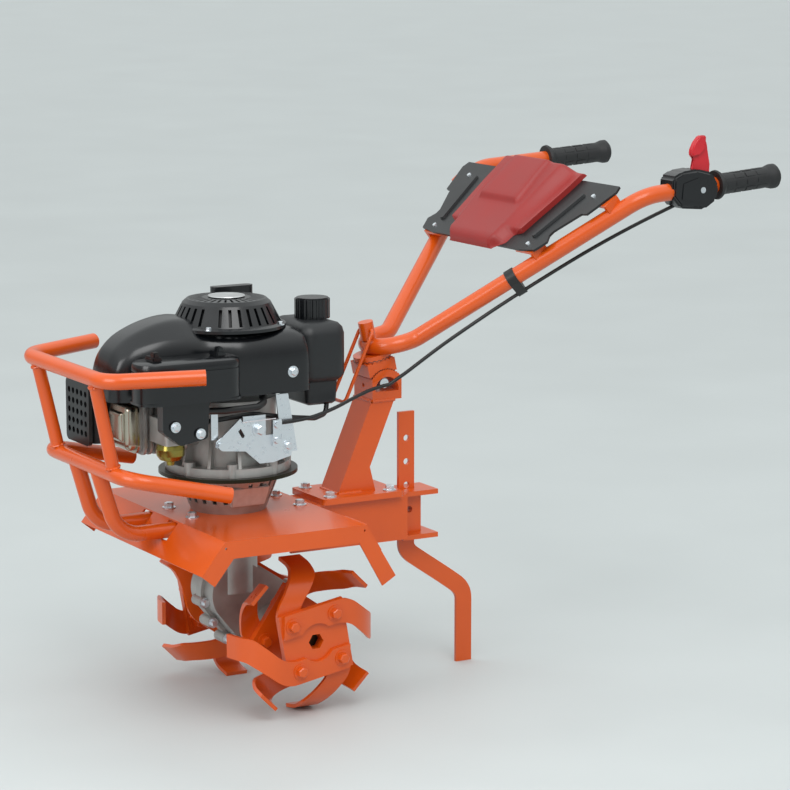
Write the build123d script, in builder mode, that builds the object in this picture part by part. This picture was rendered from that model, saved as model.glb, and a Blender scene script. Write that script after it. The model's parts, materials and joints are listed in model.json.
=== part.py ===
"""Small petrol tiller on a tine rotor, in millimetres: X forward, Y to its left, Z up from the floor."""
import os
from math import asin, cos, degrees, pi, radians, sin, tan

from build123d import *

os.makedirs("parts", exist_ok=True)

# Overall reaches, measured from the rotor axle, which centre the machine over the origin
FRONT_REACH = 355
REAR_REACH = 835
AXLE_X = (REAR_REACH - FRONT_REACH) / 2
AXLE_Z = 125

# Clearances
RUNNING_FIT = 0.05
PRESS_GAP = 0.1
TOOTH_GAP = 0.45
SLIDE_GAP = 0.5

# Rotor
HEX_FLATS = 23
AXLE_HALF = 168
JOURNAL_R = 18
HUB_R = 21
HUB_START = 66
PLATE_SIZE = 116
PLATE_T = 6
PLATE_TURN = -10
INNER_PLATE_Y = 104
OUTER_PLATE_Y = 184
TINE_W = 38
TINE_T = 6
TINE_BEND_R = 60
TINE_BEND = 80
TINE_TIP = 22
TINE_TIP_X = -6
TINE_SWING_R = 45
TINE_CORNER_R = 3
TINE_RELIEF_R = 31

# Gearbox
CASE_R = 62
CASE_HALF = 40
BOSS_R = 33
BOSS_HALF = 58
WORM_R = 50
WORM_Z = AXLE_Z + 55
NECK_R = 46
RIM_W = 6
RIM_HALF = 9
LUG_R = 9
LUG_HALF = 16
RIM_LUGS = ((112, 40), (98, 5), (72, -25), (40, -52), (0, -67), (-42, -52), (-66, -8), (-52, 46))

# Engine shaft line
ENGINE_X = AXLE_X + 60

# Fender sheet
FENDER_TOP = 315
FENDER_T = 3
FENDER_HALF = 228
FENDER_FRONT = AXLE_X + 179
FENDER_REAR = AXLE_X - 69
FENDER_LIP_X = AXLE_X + 220
FENDER_LIP_Z = 264
FENDER_ARM_X = AXLE_X - 122
FENDER_ARM_Z = 227
FLANGE = 28
GUSSET_W = 71
GUSSET_RUN = 52
GUSSET_EDGE = 18
RIVET_R = 2

# Bumper tubes
BUMPER_R = 12.5
BUMPER_WALL = 2
BUMPER_X = AXLE_X + FRONT_REACH - BUMPER_R
UPPER_RAIL_Z = 566
LOWER_RAIL_Z = 412
LOWER_RAIL_X = AXLE_X + 309
SUPPORT_Y = 46
SUPPORT_Z = FENDER_TOP - FENDER_T - BUMPER_R

# Beam, post and head
BEAM_TOP = FENDER_TOP - FENDER_T
BEAM_HALF = 45
BEAM_DEPTH = 76
BEAM_T = 5
BEAM_REAR = AXLE_X - 249
BASE_T = 10
POST_LEAN = 23
POST_W = 60
POST_D = 43
POST_WALL = 4
POST_FRONT = AXLE_X - 126
PIVOT_X = AXLE_X - 218
PIVOT_Z = 488
HEAD_HALF_X = 27.5
HEAD_HALF_Y = 31
HEAD_BASE_Z = PIVOT_Z - 16
WINDOW_R = 22
SECTOR_R = 35
SECTOR_DEPTH = 2
SECTOR_PITCH = 7.5

# Handle column, leaning forward from the pivot
COLUMN_TILT = 12
YAW_TEETH = 24
YAW_PLANE = 50
YAW_TOOTH_W = 4.4
YAW_TOOTH_H = 2.2
YAW_TOOTH_START = 17
PITCH_UP = 7.5
PITCH_DOWN = 37.5
SADDLE_HALF_X = 26
SADDLE_HALF_Y = 29
YAW_PLATE_R = 31
YAW_PLATE_T = 10
BOLT_R = 6
BAR_R = 14
BAR_WALL = 3
BAR_BEND = 45
NUT_R = 12.5
NUT_H = 30
BAIL_R = 3
BAIL_HALF = 22

# Handlebar and grips
ARM_END = (AXLE_X - 565, 264, 812)
BAR_TIP = (AXLE_X - REAR_REACH + 6, 252, 830)
ARM_BEND = 70
RISE_BEND = 30
GRIP_LENGTH = 128
GRIP_R = 16.5

# Console, cable and controls
CONSOLE_LIFT = 26
CONSOLE_T = 4
TAB_T = 5
TAB_PLACES = ((219, 122), (342, 176))
CABLE_R = 3
CABLE_PART = Vector(-2, 0, 1)
BAND_RUN = 166
CABLE_AT_BAND = (AXLE_X - 406, 136, 649)
CONTROL_Y = 100

# Hitch and drag stake
STAKE_X = AXLE_X - 271
STAKE_W = 30
STAKE_T = 6
STAKE_TOP = 443
STAKE_FOOT_X = AXLE_X - 384
STAKE_BEND = 24
STAKE_HOLE_R = 5.5
STAKE_PIN_Z = 278
STAKE_HOLE_PITCH = 40
SOCKET_TOP = BEAM_TOP
SOCKET_BOTTOM = 230


def axle_plane(y):
    """Upright plane at one side distance, seen from the left, with its origin on the axle line."""
    return Plane(origin=(AXLE_X, y, AXLE_Z), x_dir=(1, 0, 0), z_dir=(0, -1, 0))


def upright_plane(y):
    """Upright plane at one side distance, seen from the left, with its origin on the floor."""
    return Plane(origin=(0, y, 0), x_dir=(1, 0, 0), z_dir=(0, -1, 0))


def turned(x, z):
    """Point of a rotor plate after the plate is turned to its rest angle."""
    a = radians(PLATE_TURN)
    return (x * cos(a) - z * sin(a), x * sin(a) + z * cos(a))


# Rotor axle: hexagon bar with a round journal in the gearbox
with BuildPart() as rotor_axle:
    with BuildSketch(axle_plane(0)):
        RegularPolygon(HEX_FLATS / 2 - PRESS_GAP, 6, major_radius=False)
    extrude(amount=AXLE_HALF, both=True)
    with BuildSketch(axle_plane(0)):
        Circle(JOURNAL_R)
    extrude(amount=BOSS_HALF, both=True)

# Hub: hexagon bored tube with two welded plates
HUB_END = OUTER_PLATE_Y + PLATE_T / 2
with BuildPart() as rotor_left_hub:
    with BuildSketch(axle_plane(HUB_START)):
        Circle(HUB_R)
    extrude(amount=HUB_START - HUB_END)
    for plate_y, turn in ((INNER_PLATE_Y, PLATE_TURN + 45), (OUTER_PLATE_Y, PLATE_TURN)):
        with BuildSketch(axle_plane(plate_y)):
            Rectangle(PLATE_SIZE, PLATE_SIZE, rotation=turn)
        extrude(amount=PLATE_T / 2, both=True)
    with BuildSketch(axle_plane(0)):
        RegularPolygon(HEX_FLATS / 2, 6, major_radius=False)
    extrude(amount=-HUB_END - 1, mode=Mode.SUBTRACT)
with BuildPart() as rotor_right_hub:
    mirror(rotor_left_hub.part, about=Plane.XZ)

# Sickle tine that reaches the floor: flat along the plate edge, then bent sideways to a broad tip
HALF = PLATE_SIZE / 2
BEND = radians(TINE_BEND)
BEND_START = TINE_BEND_R * sin(BEND) + TINE_TIP * cos(BEND) + TINE_T / 2 * sin(BEND) - AXLE_Z
TINE_FACE = PLATE_T / 2 + TINE_T / 2
TINE_FOOT = -AXLE_Z - TINE_T
tine_outline = [
    turned(-HALF, HALF),
    turned(-HALF + TINE_W, HALF),
    turned(-HALF + TINE_W, -HALF),
    (TINE_TIP_X + TINE_W / 2, 0.8 * TINE_FOOT),
    (TINE_TIP_X + TINE_W / 2, TINE_FOOT),
    (TINE_TIP_X - TINE_W / 2, TINE_FOOT),
    (TINE_TIP_X - TINE_W / 2, 0.87 * TINE_FOOT),
    turned(-HALF, -HALF - 8),
]
tine_corners = [
    TINE_CORNER_R,
    TINE_CORNER_R,
    TINE_SWING_R,
    TINE_SWING_R / 3,
    TINE_CORNER_R,
    TINE_CORNER_R,
    TINE_SWING_R / 3,
    TINE_SWING_R,
]
with BuildPart() as tine_pattern:
    with BuildSketch(axle_plane(0)):
        with BuildLine():
            FilletPolyline(*tine_outline, radius=tine_corners, close=True)
        make_face()
        Circle(TINE_RELIEF_R, mode=Mode.SUBTRACT)
    extrude(amount=120, both=True)
    with BuildSketch(Plane(origin=(AXLE_X, 0, AXLE_Z), x_dir=(0, 1, 0), z_dir=(1, 0, 0))) as strip:
        with BuildLine():
            shank = Line((0, HALF + 1), (0, BEND_START))
            curl = JernArc(shank @ 1, shank % 1, TINE_BEND_R, -TINE_BEND)
            Line(curl @ 1, curl @ 1 + (curl % 1) * TINE_TIP)
        trace(line_width=TINE_T)
    extrude(amount=120, both=True, mode=Mode.INTERSECT)
axle_line = Axis((AXLE_X, 0, AXLE_Z), (0, 1, 0))
with BuildPart() as tines_left_outer:
    for k in range(4):
        face = -TINE_FACE if k % 2 == 0 else TINE_FACE
        add(tine_pattern.part.rotate(axle_line, 90 * k).translate((0, OUTER_PLATE_Y + face, 0)))
outward_tine = mirror(tine_pattern.part, about=Plane.XZ)
with BuildPart() as tines_left_inner:
    for k in range(4):
        face = TINE_FACE if k % 2 == 0 else -TINE_FACE
        add(outward_tine.rotate(axle_line, 90 * k - 45).translate((0, INNER_PLATE_Y + face, 0)))
with BuildPart() as tines_right_outer:
    mirror(tines_left_outer.part, about=Plane.XZ)
with BuildPart() as tines_right_inner:
    mirror(tines_left_inner.part, about=Plane.XZ)

# Gearbox case with a bolted rim, split along the machine's centre plane
with BuildPart() as gearbox_case:
    with BuildSketch(axle_plane(0)):
        Circle(CASE_R)
        with Locations((ENGINE_X - AXLE_X, WORM_Z - AXLE_Z)):
            Circle(WORM_R)
        make_hull()
    extrude(amount=CASE_HALF, both=True)
    with BuildSketch(axle_plane(0)):
        Circle(CASE_R + RIM_W)
        with Locations((ENGINE_X - AXLE_X, WORM_Z - AXLE_Z)):
            Circle(WORM_R + RIM_W)
        make_hull()
    extrude(amount=RIM_HALF, both=True)
    for lug_x, lug_z in RIM_LUGS:
        with BuildSketch(axle_plane(0)):
            with Locations((lug_x, lug_z)):
                Circle(LUG_R)
        extrude(amount=LUG_HALF, both=True)
    with BuildSketch(axle_plane(0)):
        Circle(BOSS_R)
    extrude(amount=BOSS_HALF, both=True)
    with BuildSketch(Plane.XY.offset(WORM_Z)):
        with Locations((ENGINE_X, 0)):
            Circle(NECK_R)
    extrude(amount=BEAM_TOP - WORM_Z)
    with BuildSketch(axle_plane(0)):
        Circle(JOURNAL_R + RUNNING_FIT)
    extrude(amount=BOSS_HALF + 1, both=True, mode=Mode.SUBTRACT)
with BuildPart() as gearbox_case_left:
    add(gearbox_case.part)
    split(bisect_by=Plane.XZ, keep=Keep.BOTTOM)
with BuildPart() as gearbox_case_right:
    add(gearbox_case.part)
    split(bisect_by=Plane.XZ, keep=Keep.TOP)

# Fender: top plate and front slope bent from one sheet, side flanges that run on as gusseted arms
arm_way = Vector(FENDER_ARM_X - FENDER_REAR, 0, FENDER_ARM_Z - FENDER_TOP).normalized()
arm_plane = Plane(
    origin=(FENDER_REAR, 0, FENDER_TOP), x_dir=arm_way, z_dir=(arm_way.Z, 0, -arm_way.X)
)
with BuildPart() as fender:
    with BuildSketch(upright_plane(0)):
        with BuildLine():
            Polyline(
                (FENDER_REAR, FENDER_TOP),
                (FENDER_FRONT, FENDER_TOP),
                (FENDER_LIP_X, FENDER_LIP_Z),
                (FENDER_LIP_X - FENDER_T, FENDER_LIP_Z - 2),
                (FENDER_FRONT - FENDER_T / 2, FENDER_TOP - FENDER_T),
                (FENDER_REAR, FENDER_TOP - FENDER_T),
                close=True,
            )
        make_face()
    extrude(amount=FENDER_HALF, both=True)
    for side in (-1, 1):
        with BuildSketch(upright_plane(side * (FENDER_HALF - FENDER_T / 2))):
            with BuildLine():
                Polyline(
                    (FENDER_ARM_X, FENDER_ARM_Z),
                    (FENDER_REAR, FENDER_TOP),
                    (FENDER_FRONT, FENDER_TOP),
                    (FENDER_LIP_X, FENDER_LIP_Z),
                    (FENDER_LIP_X - 22, FENDER_LIP_Z - 18),
                    (FENDER_FRONT - 14, FENDER_TOP - FLANGE),
                    (FENDER_REAR + 13, FENDER_TOP - FLANGE),
                    (FENDER_ARM_X + 24, FENDER_ARM_Z - 14),
                    close=True,
                )
            make_face()
            with Locations((FENDER_FRONT - 1, FENDER_TOP - 11), (FENDER_REAR + 3, FENDER_TOP - 9)):
                Circle(RIVET_R, mode=Mode.SUBTRACT)
        extrude(amount=FENDER_T / 2, both=True)
    for side in (-1, 1):
        with BuildSketch(arm_plane):
            with BuildLine():
                Polyline(
                    (0, side * (FENDER_HALF - FENDER_T / 2)),
                    (0, side * (FENDER_HALF - GUSSET_W)),
                    (GUSSET_EDGE, side * (FENDER_HALF - GUSSET_W)),
                    (GUSSET_RUN, side * (FENDER_HALF - FENDER_T / 2)),
                    close=True,
                )
            make_face()
            with Locations((GUSSET_RUN / 2, side * (FENDER_HALF - GUSSET_W / 3))):
                Circle(RIVET_R, mode=Mode.SUBTRACT)
        extrude(amount=FENDER_T / 2, both=True)
    for side in (-1, 1):
        with BuildSketch(Plane.YZ.offset(FENDER_FRONT - 3)):
            with Locations((side * SUPPORT_Y, SUPPORT_Z)):
                Rectangle(2 * BUMPER_R + 8, 2 * BUMPER_R + 2)
        extrude(amount=60, mode=Mode.SUBTRACT)

# Bumper: two U rails, two coped uprights, two J tubes under the fender plate
with BuildPart() as upper_rod:
    with BuildLine() as upper_path:
        FilletPolyline(
            (AXLE_X + 200, 208, UPPER_RAIL_Z + 4),
            (BUMPER_X, 152, UPPER_RAIL_Z),
            (BUMPER_X, -152, UPPER_RAIL_Z),
            (AXLE_X + 200, -208, UPPER_RAIL_Z + 4),
            radius=45,
        )
    upper_start = Plane(origin=upper_path.line @ 0, z_dir=upper_path.line % 0)
    with BuildSketch(upper_start):
        Circle(BUMPER_R)
    sweep()
with BuildPart() as bumper_upper_rail:
    add(upper_rod.part)
    with BuildSketch(upper_start):
        Circle(BUMPER_R - BUMPER_WALL)
    sweep(path=upper_path.line, mode=Mode.SUBTRACT)
with BuildPart() as lower_rod:
    with BuildLine() as lower_path:
        FilletPolyline(
            (AXLE_X + 146, 182, LOWER_RAIL_Z - 36),
            (LOWER_RAIL_X, 155, LOWER_RAIL_Z),
            (LOWER_RAIL_X, -155, LOWER_RAIL_Z),
            (AXLE_X + 146, -182, LOWER_RAIL_Z - 36),
            radius=45,
        )
    lower_start = Plane(origin=lower_path.line @ 0, z_dir=lower_path.line % 0)
    with BuildSketch(lower_start):
        Circle(BUMPER_R)
    sweep()
with BuildPart() as bumper_lower_rail:
    add(lower_rod.part)
    with BuildSketch(lower_start):
        Circle(BUMPER_R - BUMPER_WALL)
    sweep(path=lower_path.line, mode=Mode.SUBTRACT)
with BuildPart() as bumper_uprights:
    for side in (-1, 1):
        with BuildLine() as upright_path:
            Line((LOWER_RAIL_X, side * 106, LOWER_RAIL_Z), (BUMPER_X, side * 112, UPPER_RAIL_Z))
        with BuildSketch(Plane(origin=upright_path.line @ 0, z_dir=upright_path.line % 0)):
            Circle(BUMPER_R - 2)
            Circle(BUMPER_R - 2 - BUMPER_WALL, mode=Mode.SUBTRACT)
        sweep(path=upright_path.line)
    add(upper_rod.part, mode=Mode.SUBTRACT)
    add(lower_rod.part, mode=Mode.SUBTRACT)
with BuildPart() as bumper_supports:
    for side in (-1, 1):
        with BuildLine() as support_path:
            FilletPolyline(
                (LOWER_RAIL_X, side * 41, LOWER_RAIL_Z),
                (AXLE_X + 276, side * 43, SUPPORT_Z),
                (AXLE_X + 120, side * SUPPORT_Y, SUPPORT_Z),
                radius=50,
            )
        with BuildSketch(Plane(origin=support_path.line @ 0, z_dir=support_path.line % 0)):
            Circle(BUMPER_R)
            Circle(BUMPER_R - BUMPER_WALL, mode=Mode.SUBTRACT)
        sweep(path=support_path.line)
    add(lower_rod.part, mode=Mode.SUBTRACT)

# Rear beam: inverted channel from the gearbox to the hitch
with BuildPart() as rear_beam:
    with BuildSketch(Plane.YZ.offset(BEAM_REAR)):
        with Locations((0, BEAM_TOP - BEAM_DEPTH / 2)):
            Rectangle(2 * BEAM_HALF, BEAM_DEPTH)
        with Locations((0, BEAM_TOP - BEAM_DEPTH / 2 - BEAM_T)):
            Rectangle(2 * BEAM_HALF - 2 * BEAM_T, BEAM_DEPTH, mode=Mode.SUBTRACT)
    extrude(amount=AXLE_X - 30 - BEAM_REAR)
    with BuildSketch(Plane.XY.offset(BEAM_TOP - BEAM_DEPTH)):
        with Locations((ENGINE_X, 0)):
            Circle(NECK_R)
    extrude(amount=BEAM_DEPTH, mode=Mode.SUBTRACT)

# Post: base plate and leaning box tube
LEAN = radians(POST_LEAN)
POST_BASE_Z = BEAM_TOP + BASE_T
with BuildPart() as handle_post:
    with BuildSketch(Plane.XY.offset(BEAM_TOP)):
        with Locations((AXLE_X - 160, 0)):
            RectangleRounded(150, 116, 6)
    extrude(amount=BASE_T)
    with BuildSketch(Plane.XY.offset(POST_BASE_Z)):
        with Locations((POST_FRONT - POST_D / 2, 0)):
            Rectangle(POST_D, POST_W)
            Rectangle(POST_D - 2 * POST_WALL, POST_W - 2 * POST_WALL, mode=Mode.SUBTRACT)
    extrude(amount=(HEAD_BASE_Z - POST_BASE_Z) / cos(LEAN), dir=(-sin(LEAN), 0, cos(LEAN)))
    with BuildSketch(upright_plane(0)):
        with BuildLine():
            Polyline(
                (POST_FRONT - POST_D + 2, POST_BASE_Z),
                (POST_FRONT - POST_D - 27, POST_BASE_Z),
                (POST_FRONT - POST_D - 40 * tan(LEAN), POST_BASE_Z + 40),
                close=True,
            )
        make_face()
    extrude(amount=POST_W / 2, both=True)

# Head: box with an arch window below a toothed sector, slotted for the clamp bolt
TOOTH_STEP = SECTOR_PITCH / 2


def sector_point(angle, radius):
    """Point at an angle from the upright, forward positive, around the pivot in an upright plane."""
    return (radius * sin(radians(angle)), radius * cos(radians(angle)))


head_edge = []
for k in range(-17, 12):
    tooth_angle = COLUMN_TILT + k * TOOTH_STEP
    head_edge.append(sector_point(tooth_angle, SECTOR_R - (SECTOR_DEPTH if k % 2 else 0)))
pivot_plane = Plane(origin=(PIVOT_X, 0, PIVOT_Z), x_dir=(1, 0, 0), z_dir=(0, -1, 0))
SLOT_MARGIN = degrees(asin((BOLT_R + 0.6) / WINDOW_R))
with BuildPart() as post_head:
    with BuildSketch(pivot_plane):
        with BuildLine():
            Polyline(
                (HEAD_HALF_X, HEAD_BASE_Z - PIVOT_Z),
                (-HEAD_HALF_X, HEAD_BASE_Z - PIVOT_Z),
                (-HEAD_HALF_X, 19),
                *head_edge,
                (HEAD_HALF_X, 19),
                close=True,
            )
        make_face()
        with BuildSketch(mode=Mode.PRIVATE) as window:
            Circle(WINDOW_R)
            with Locations((0, -WINDOW_R)):
                Rectangle(2 * WINDOW_R, 2 * WINDOW_R - 4, mode=Mode.SUBTRACT)
        add(window.sketch, mode=Mode.SUBTRACT)
    extrude(amount=HEAD_HALF_Y, both=True)
    with BuildSketch(pivot_plane):
        with BuildLine():
            Polyline(
                (0, 0),
                sector_point(COLUMN_TILT + PITCH_UP + SLOT_MARGIN, 2 * SECTOR_R),
                sector_point(COLUMN_TILT - PITCH_DOWN - SLOT_MARGIN, 2 * SECTOR_R),
                close=True,
            )
        make_face()
    extrude(amount=BOLT_R + 1, both=True, mode=Mode.SUBTRACT)
    with BuildSketch(Plane.YZ.offset(PIVOT_X - 2 * HEAD_HALF_X)):
        with Locations((0, PIVOT_Z + 6)):
            Circle(3.5)
    extrude(amount=4 * HEAD_HALF_X, mode=Mode.SUBTRACT)

# Saddle: curved teeth on the sector below, face teeth for the yaw plate above
tilt = radians(COLUMN_TILT)
forward = (cos(tilt), 0, -sin(tilt))
upward = (sin(tilt), 0, cos(tilt))
column_side = Plane(origin=(PIVOT_X, 0, PIVOT_Z), x_dir=forward, z_dir=(0, -1, 0))
column_base = Plane(origin=(PIVOT_X, 0, PIVOT_Z), x_dir=forward, z_dir=upward)


def tooth_plane(height, k, start):
    """Plane across one radial face tooth at a height on the column, facing outwards."""
    a = 2 * pi / YAW_TEETH * k
    outward = column_base.from_local_coords(Vector(cos(a), sin(a), 0)) - column_base.origin
    across = column_base.from_local_coords(Vector(-sin(a), cos(a), 0)) - column_base.origin
    foot = column_base.from_local_coords(Vector(start * cos(a), start * sin(a), height))
    return Plane(origin=foot, x_dir=across, z_dir=outward)


saddle_edge = []
for k in range(-10, 11):
    saddle_edge.append(
        sector_point(k * TOOTH_STEP, SECTOR_R + TOOTH_GAP - (SECTOR_DEPTH if k % 2 else 0))
    )
with BuildPart() as pitch_saddle:
    with BuildSketch(column_side):
        with BuildLine():
            Polyline(
                (-SADDLE_HALF_X, YAW_PLANE),
                (-SADDLE_HALF_X, 27.5),
                *saddle_edge,
                (SADDLE_HALF_X, 27.5),
                (SADDLE_HALF_X, YAW_PLANE),
                close=True,
            )
        make_face()
    extrude(amount=SADDLE_HALF_Y, both=True)
    with BuildSketch(column_base):
        Circle(BOLT_R)
    extrude(amount=YAW_PLANE + 1, mode=Mode.SUBTRACT)
    for k in range(YAW_TEETH):
        with BuildSketch(tooth_plane(YAW_PLANE, k, YAW_TOOTH_START)):
            with BuildLine():
                Polyline(
                    (-YAW_TOOTH_W / 2, 0.01),
                    (0, -YAW_TOOTH_H),
                    (YAW_TOOTH_W / 2, 0.01),
                    close=True,
                )
            make_face()
        extrude(amount=30, mode=Mode.SUBTRACT)

# Clamp bolt with its cross bar in the head's window
BAR_V = YAW_PLANE + YAW_PLATE_T + BAR_R - 2
NUT_BASE = BAR_V + BAR_R - 2
with BuildPart() as clamp_bolt:
    with BuildSketch(column_base.offset(8)):
        Circle(BOLT_R)
    extrude(amount=NUT_BASE + NUT_H - 6 - 8)
    with BuildSketch(column_side):
        with Locations((0, 11)):
            Circle(8)
    extrude(amount=26, both=True)

# Handlebar tube: U through the column, two arms, two straight grip ends
bar_center = column_base.offset(BAR_V)
side_start = bar_center.from_local_coords(Vector(-BAR_BEND, BAR_BEND, 0))
rise_point = bar_center.from_local_coords(Vector(-BAR_BEND - 16, BAR_BEND, 0))
far_start = bar_center.from_local_coords(Vector(-BAR_BEND, -BAR_BEND, 0))
far_rise = bar_center.from_local_coords(Vector(-BAR_BEND - 16, -BAR_BEND, 0))
arm_middle = (rise_point + Vector(*ARM_END)) / 2
far_end = (ARM_END[0], -ARM_END[1], ARM_END[2])
far_middle = (arm_middle.X, -arm_middle.Y, arm_middle.Z)
far_tip = (BAR_TIP[0], -BAR_TIP[1], BAR_TIP[2])
with BuildPart() as bar_rod:
    with BuildLine() as bar_path:
        FilletPolyline(BAR_TIP, ARM_END, arm_middle, radius=ARM_BEND)
        FilletPolyline(arm_middle, rise_point, side_start, radius=RISE_BEND)
        ThreePointArc(side_start, bar_center.origin, far_start)
        FilletPolyline(far_start, far_rise, far_middle, radius=RISE_BEND)
        FilletPolyline(far_middle, far_end, far_tip, radius=ARM_BEND)
    bar_start = Plane(origin=bar_path.line @ 0, z_dir=bar_path.line % 0)
    with BuildSketch(bar_start):
        Circle(BAR_R)
    sweep()
with BuildPart() as handlebar_tube:
    add(bar_rod.part)
    with BuildSketch(bar_start):
        Circle(BAR_R - BAR_WALL)
    sweep(path=bar_path.line, mode=Mode.SUBTRACT)
    with BuildSketch(column_base.offset(BAR_V - 2 * BAR_R)):
        Circle(BOLT_R + 0.5)
    extrude(amount=4 * BAR_R, mode=Mode.SUBTRACT)
    with BuildSketch(column_base.offset(NUT_BASE)):
        Circle(NUT_R + 4)
    extrude(amount=BAR_R, mode=Mode.SUBTRACT)

# Yaw plate: face teeth below, groove for the tube above
with BuildPart() as yaw_plate:
    with BuildSketch(column_base.offset(YAW_PLANE + 0.3)):
        Circle(YAW_PLATE_R)
    extrude(amount=YAW_PLATE_T - 0.3)
    for k in range(YAW_TEETH):
        with BuildSketch(tooth_plane(YAW_PLANE + 0.3, k, YAW_TOOTH_START + 1)):
            with BuildLine():
                Polyline(
                    (-YAW_TOOTH_W / 2 + 0.3, 0.01),
                    (0, -YAW_TOOTH_H + 0.2),
                    (YAW_TOOTH_W / 2 - 0.3, 0.01),
                    close=True,
                )
            make_face()
        extrude(amount=YAW_PLATE_R - YAW_TOOTH_START - 1.5)
    with BuildSketch(column_base):
        Circle(BOLT_R + 0.5)
    extrude(amount=2 * YAW_PLANE, mode=Mode.SUBTRACT)
    add(handlebar_tube.part, mode=Mode.SUBTRACT)

# Locking nut and its wire bail
with BuildPart() as locking_nut:
    with BuildSketch(column_base.offset(NUT_BASE)):
        Circle(NUT_R)
        Circle(BOLT_R + RUNNING_FIT, mode=Mode.SUBTRACT)
    extrude(amount=NUT_H)
    with BuildSketch(column_base.offset(NUT_BASE + NUT_H - 5)):
        Circle(NUT_R)
    extrude(amount=5)
BAIL_V = NUT_BASE + NUT_H / 2 + 2
bail_low = (76, 0)
with BuildPart() as locking_bail:
    with BuildLine() as bail_path:
        FilletPolyline(
            column_base.from_local_coords(Vector(0, NUT_R, BAIL_V)),
            column_base.from_local_coords(Vector(0, BAIL_HALF, BAIL_V)),
            column_base.from_local_coords(Vector(bail_low[0], BAIL_HALF, bail_low[1])),
            column_base.from_local_coords(Vector(bail_low[0], -BAIL_HALF, bail_low[1])),
            column_base.from_local_coords(Vector(0, -BAIL_HALF, BAIL_V)),
            column_base.from_local_coords(Vector(0, -NUT_R, BAIL_V)),
            radius=8,
        )
    with BuildSketch(Plane(origin=bail_path.line @ 0, z_dir=bail_path.line % 0)):
        Circle(BAIL_R)
    sweep()
    add(locking_nut.part, mode=Mode.SUBTRACT)

# Hitch socket: box guide with top and bottom plates behind the beam
SOCKET_X = BEAM_REAR - 67 / 2
with BuildPart() as hitch_socket:
    with BuildSketch(Plane.XY.offset(SOCKET_BOTTOM)):
        with Locations((STAKE_X, 0)):
            Rectangle(2 * (STAKE_X - BEAM_REAR + 44), 26)
    extrude(amount=SOCKET_TOP - SOCKET_BOTTOM)
    for plate_z in (SOCKET_BOTTOM, SOCKET_TOP - 8):
        with BuildSketch(Plane.XY.offset(plate_z)):
            with Locations((SOCKET_X, 0)):
                Rectangle(67, 62)
        extrude(amount=8)
    with BuildSketch(Plane.XY.offset(SOCKET_BOTTOM - 1)):
        with Locations((STAKE_X, 0)):
            Rectangle(STAKE_W + 2 * SLIDE_GAP, STAKE_T + 2 * SLIDE_GAP)
    extrude(amount=200, mode=Mode.SUBTRACT)
    with BuildSketch(upright_plane(0)):
        with Locations((STAKE_X, STAKE_PIN_Z)):
            Circle(STAKE_HOLE_R)
    extrude(amount=40, both=True, mode=Mode.SUBTRACT)

# Drag stake: flat bar with a dogleg and a row of holes
with BuildPart() as drag_stake:
    with BuildSketch(upright_plane(0)):
        with BuildLine():
            FilletPolyline(
                (STAKE_X + STAKE_W / 2, STAKE_TOP),
                (STAKE_X - STAKE_W / 2, STAKE_TOP),
                (STAKE_X - STAKE_W / 2, SOCKET_BOTTOM - 14),
                (STAKE_FOOT_X - STAKE_W / 2, 172),
                (STAKE_FOOT_X - STAKE_W / 2, 0),
                (STAKE_FOOT_X + STAKE_W / 2, 0),
                (STAKE_FOOT_X + STAKE_W / 2, 150),
                (STAKE_X + STAKE_W / 2, SOCKET_BOTTOM - 34),
                radius=[2, 2, STAKE_BEND, STAKE_BEND, 2, 2, STAKE_BEND, STAKE_BEND],
                close=True,
            )
        make_face()
        for k in range(4):
            with Locations((STAKE_X, STAKE_PIN_Z + k * STAKE_HOLE_PITCH)):
                Circle(STAKE_HOLE_R, mode=Mode.SUBTRACT)
    extrude(amount=STAKE_T / 2, both=True)

# Engine: clutch cone, flange disc, crankcase, cylinder with fins and head
FLANGE_Z = 376
FLANGE_T = 6
CONE_LOW_R = 61
CONE_TOP_R = 85
CONE_WALL = 6
CONE_SLOTS = 24
engine_line = Axis((ENGINE_X, 0, 0), (0, 0, 1))


def engine_plane(angle):
    """Upright plane through the engine shaft line, turned by an angle from straight ahead."""
    a = radians(angle)
    return Plane(origin=(ENGINE_X, 0, 0), x_dir=(cos(a), sin(a), 0), z_dir=(sin(a), -cos(a), 0))


CASE_TOP = 500
CASE_WALL_R = 78
SUMP_R = 100
SUMP_T = 14
SUMP_BOLTS = 8
SUMP_RIBS = 12
CYL_FRONT = AXLE_X + 235
CYL_Z = 467
with BuildPart() as clutch_housing:
    with BuildSketch(upright_plane(0)):
        with BuildLine():
            Polyline(
                (ENGINE_X + 30, FENDER_TOP),
                (ENGINE_X + CONE_LOW_R, FENDER_TOP),
                (ENGINE_X + CONE_TOP_R, FLANGE_Z),
                (ENGINE_X + CONE_TOP_R - CONE_WALL, FLANGE_Z),
                (ENGINE_X + CONE_LOW_R - CONE_WALL, FENDER_TOP + CONE_WALL),
                (ENGINE_X + 30, FENDER_TOP + CONE_WALL),
                close=True,
            )
        make_face()
    revolve(axis=engine_line)
    for k in range(CONE_SLOTS):
        if k % 6 == 5:
            continue
        with BuildSketch(engine_plane(360 / CONE_SLOTS * k)):
            with Locations((CONE_TOP_R - 8, (FENDER_TOP + FLANGE_Z) / 2 + 4)):
                Rectangle(50, 34)
        extrude(amount=3.5, both=True, mode=Mode.SUBTRACT)
with BuildPart() as engine_flange:
    with BuildSketch(Plane.XY.offset(FLANGE_Z)):
        with Locations((ENGINE_X, 0)):
            Circle(112.5)
    extrude(amount=FLANGE_T)
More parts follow.
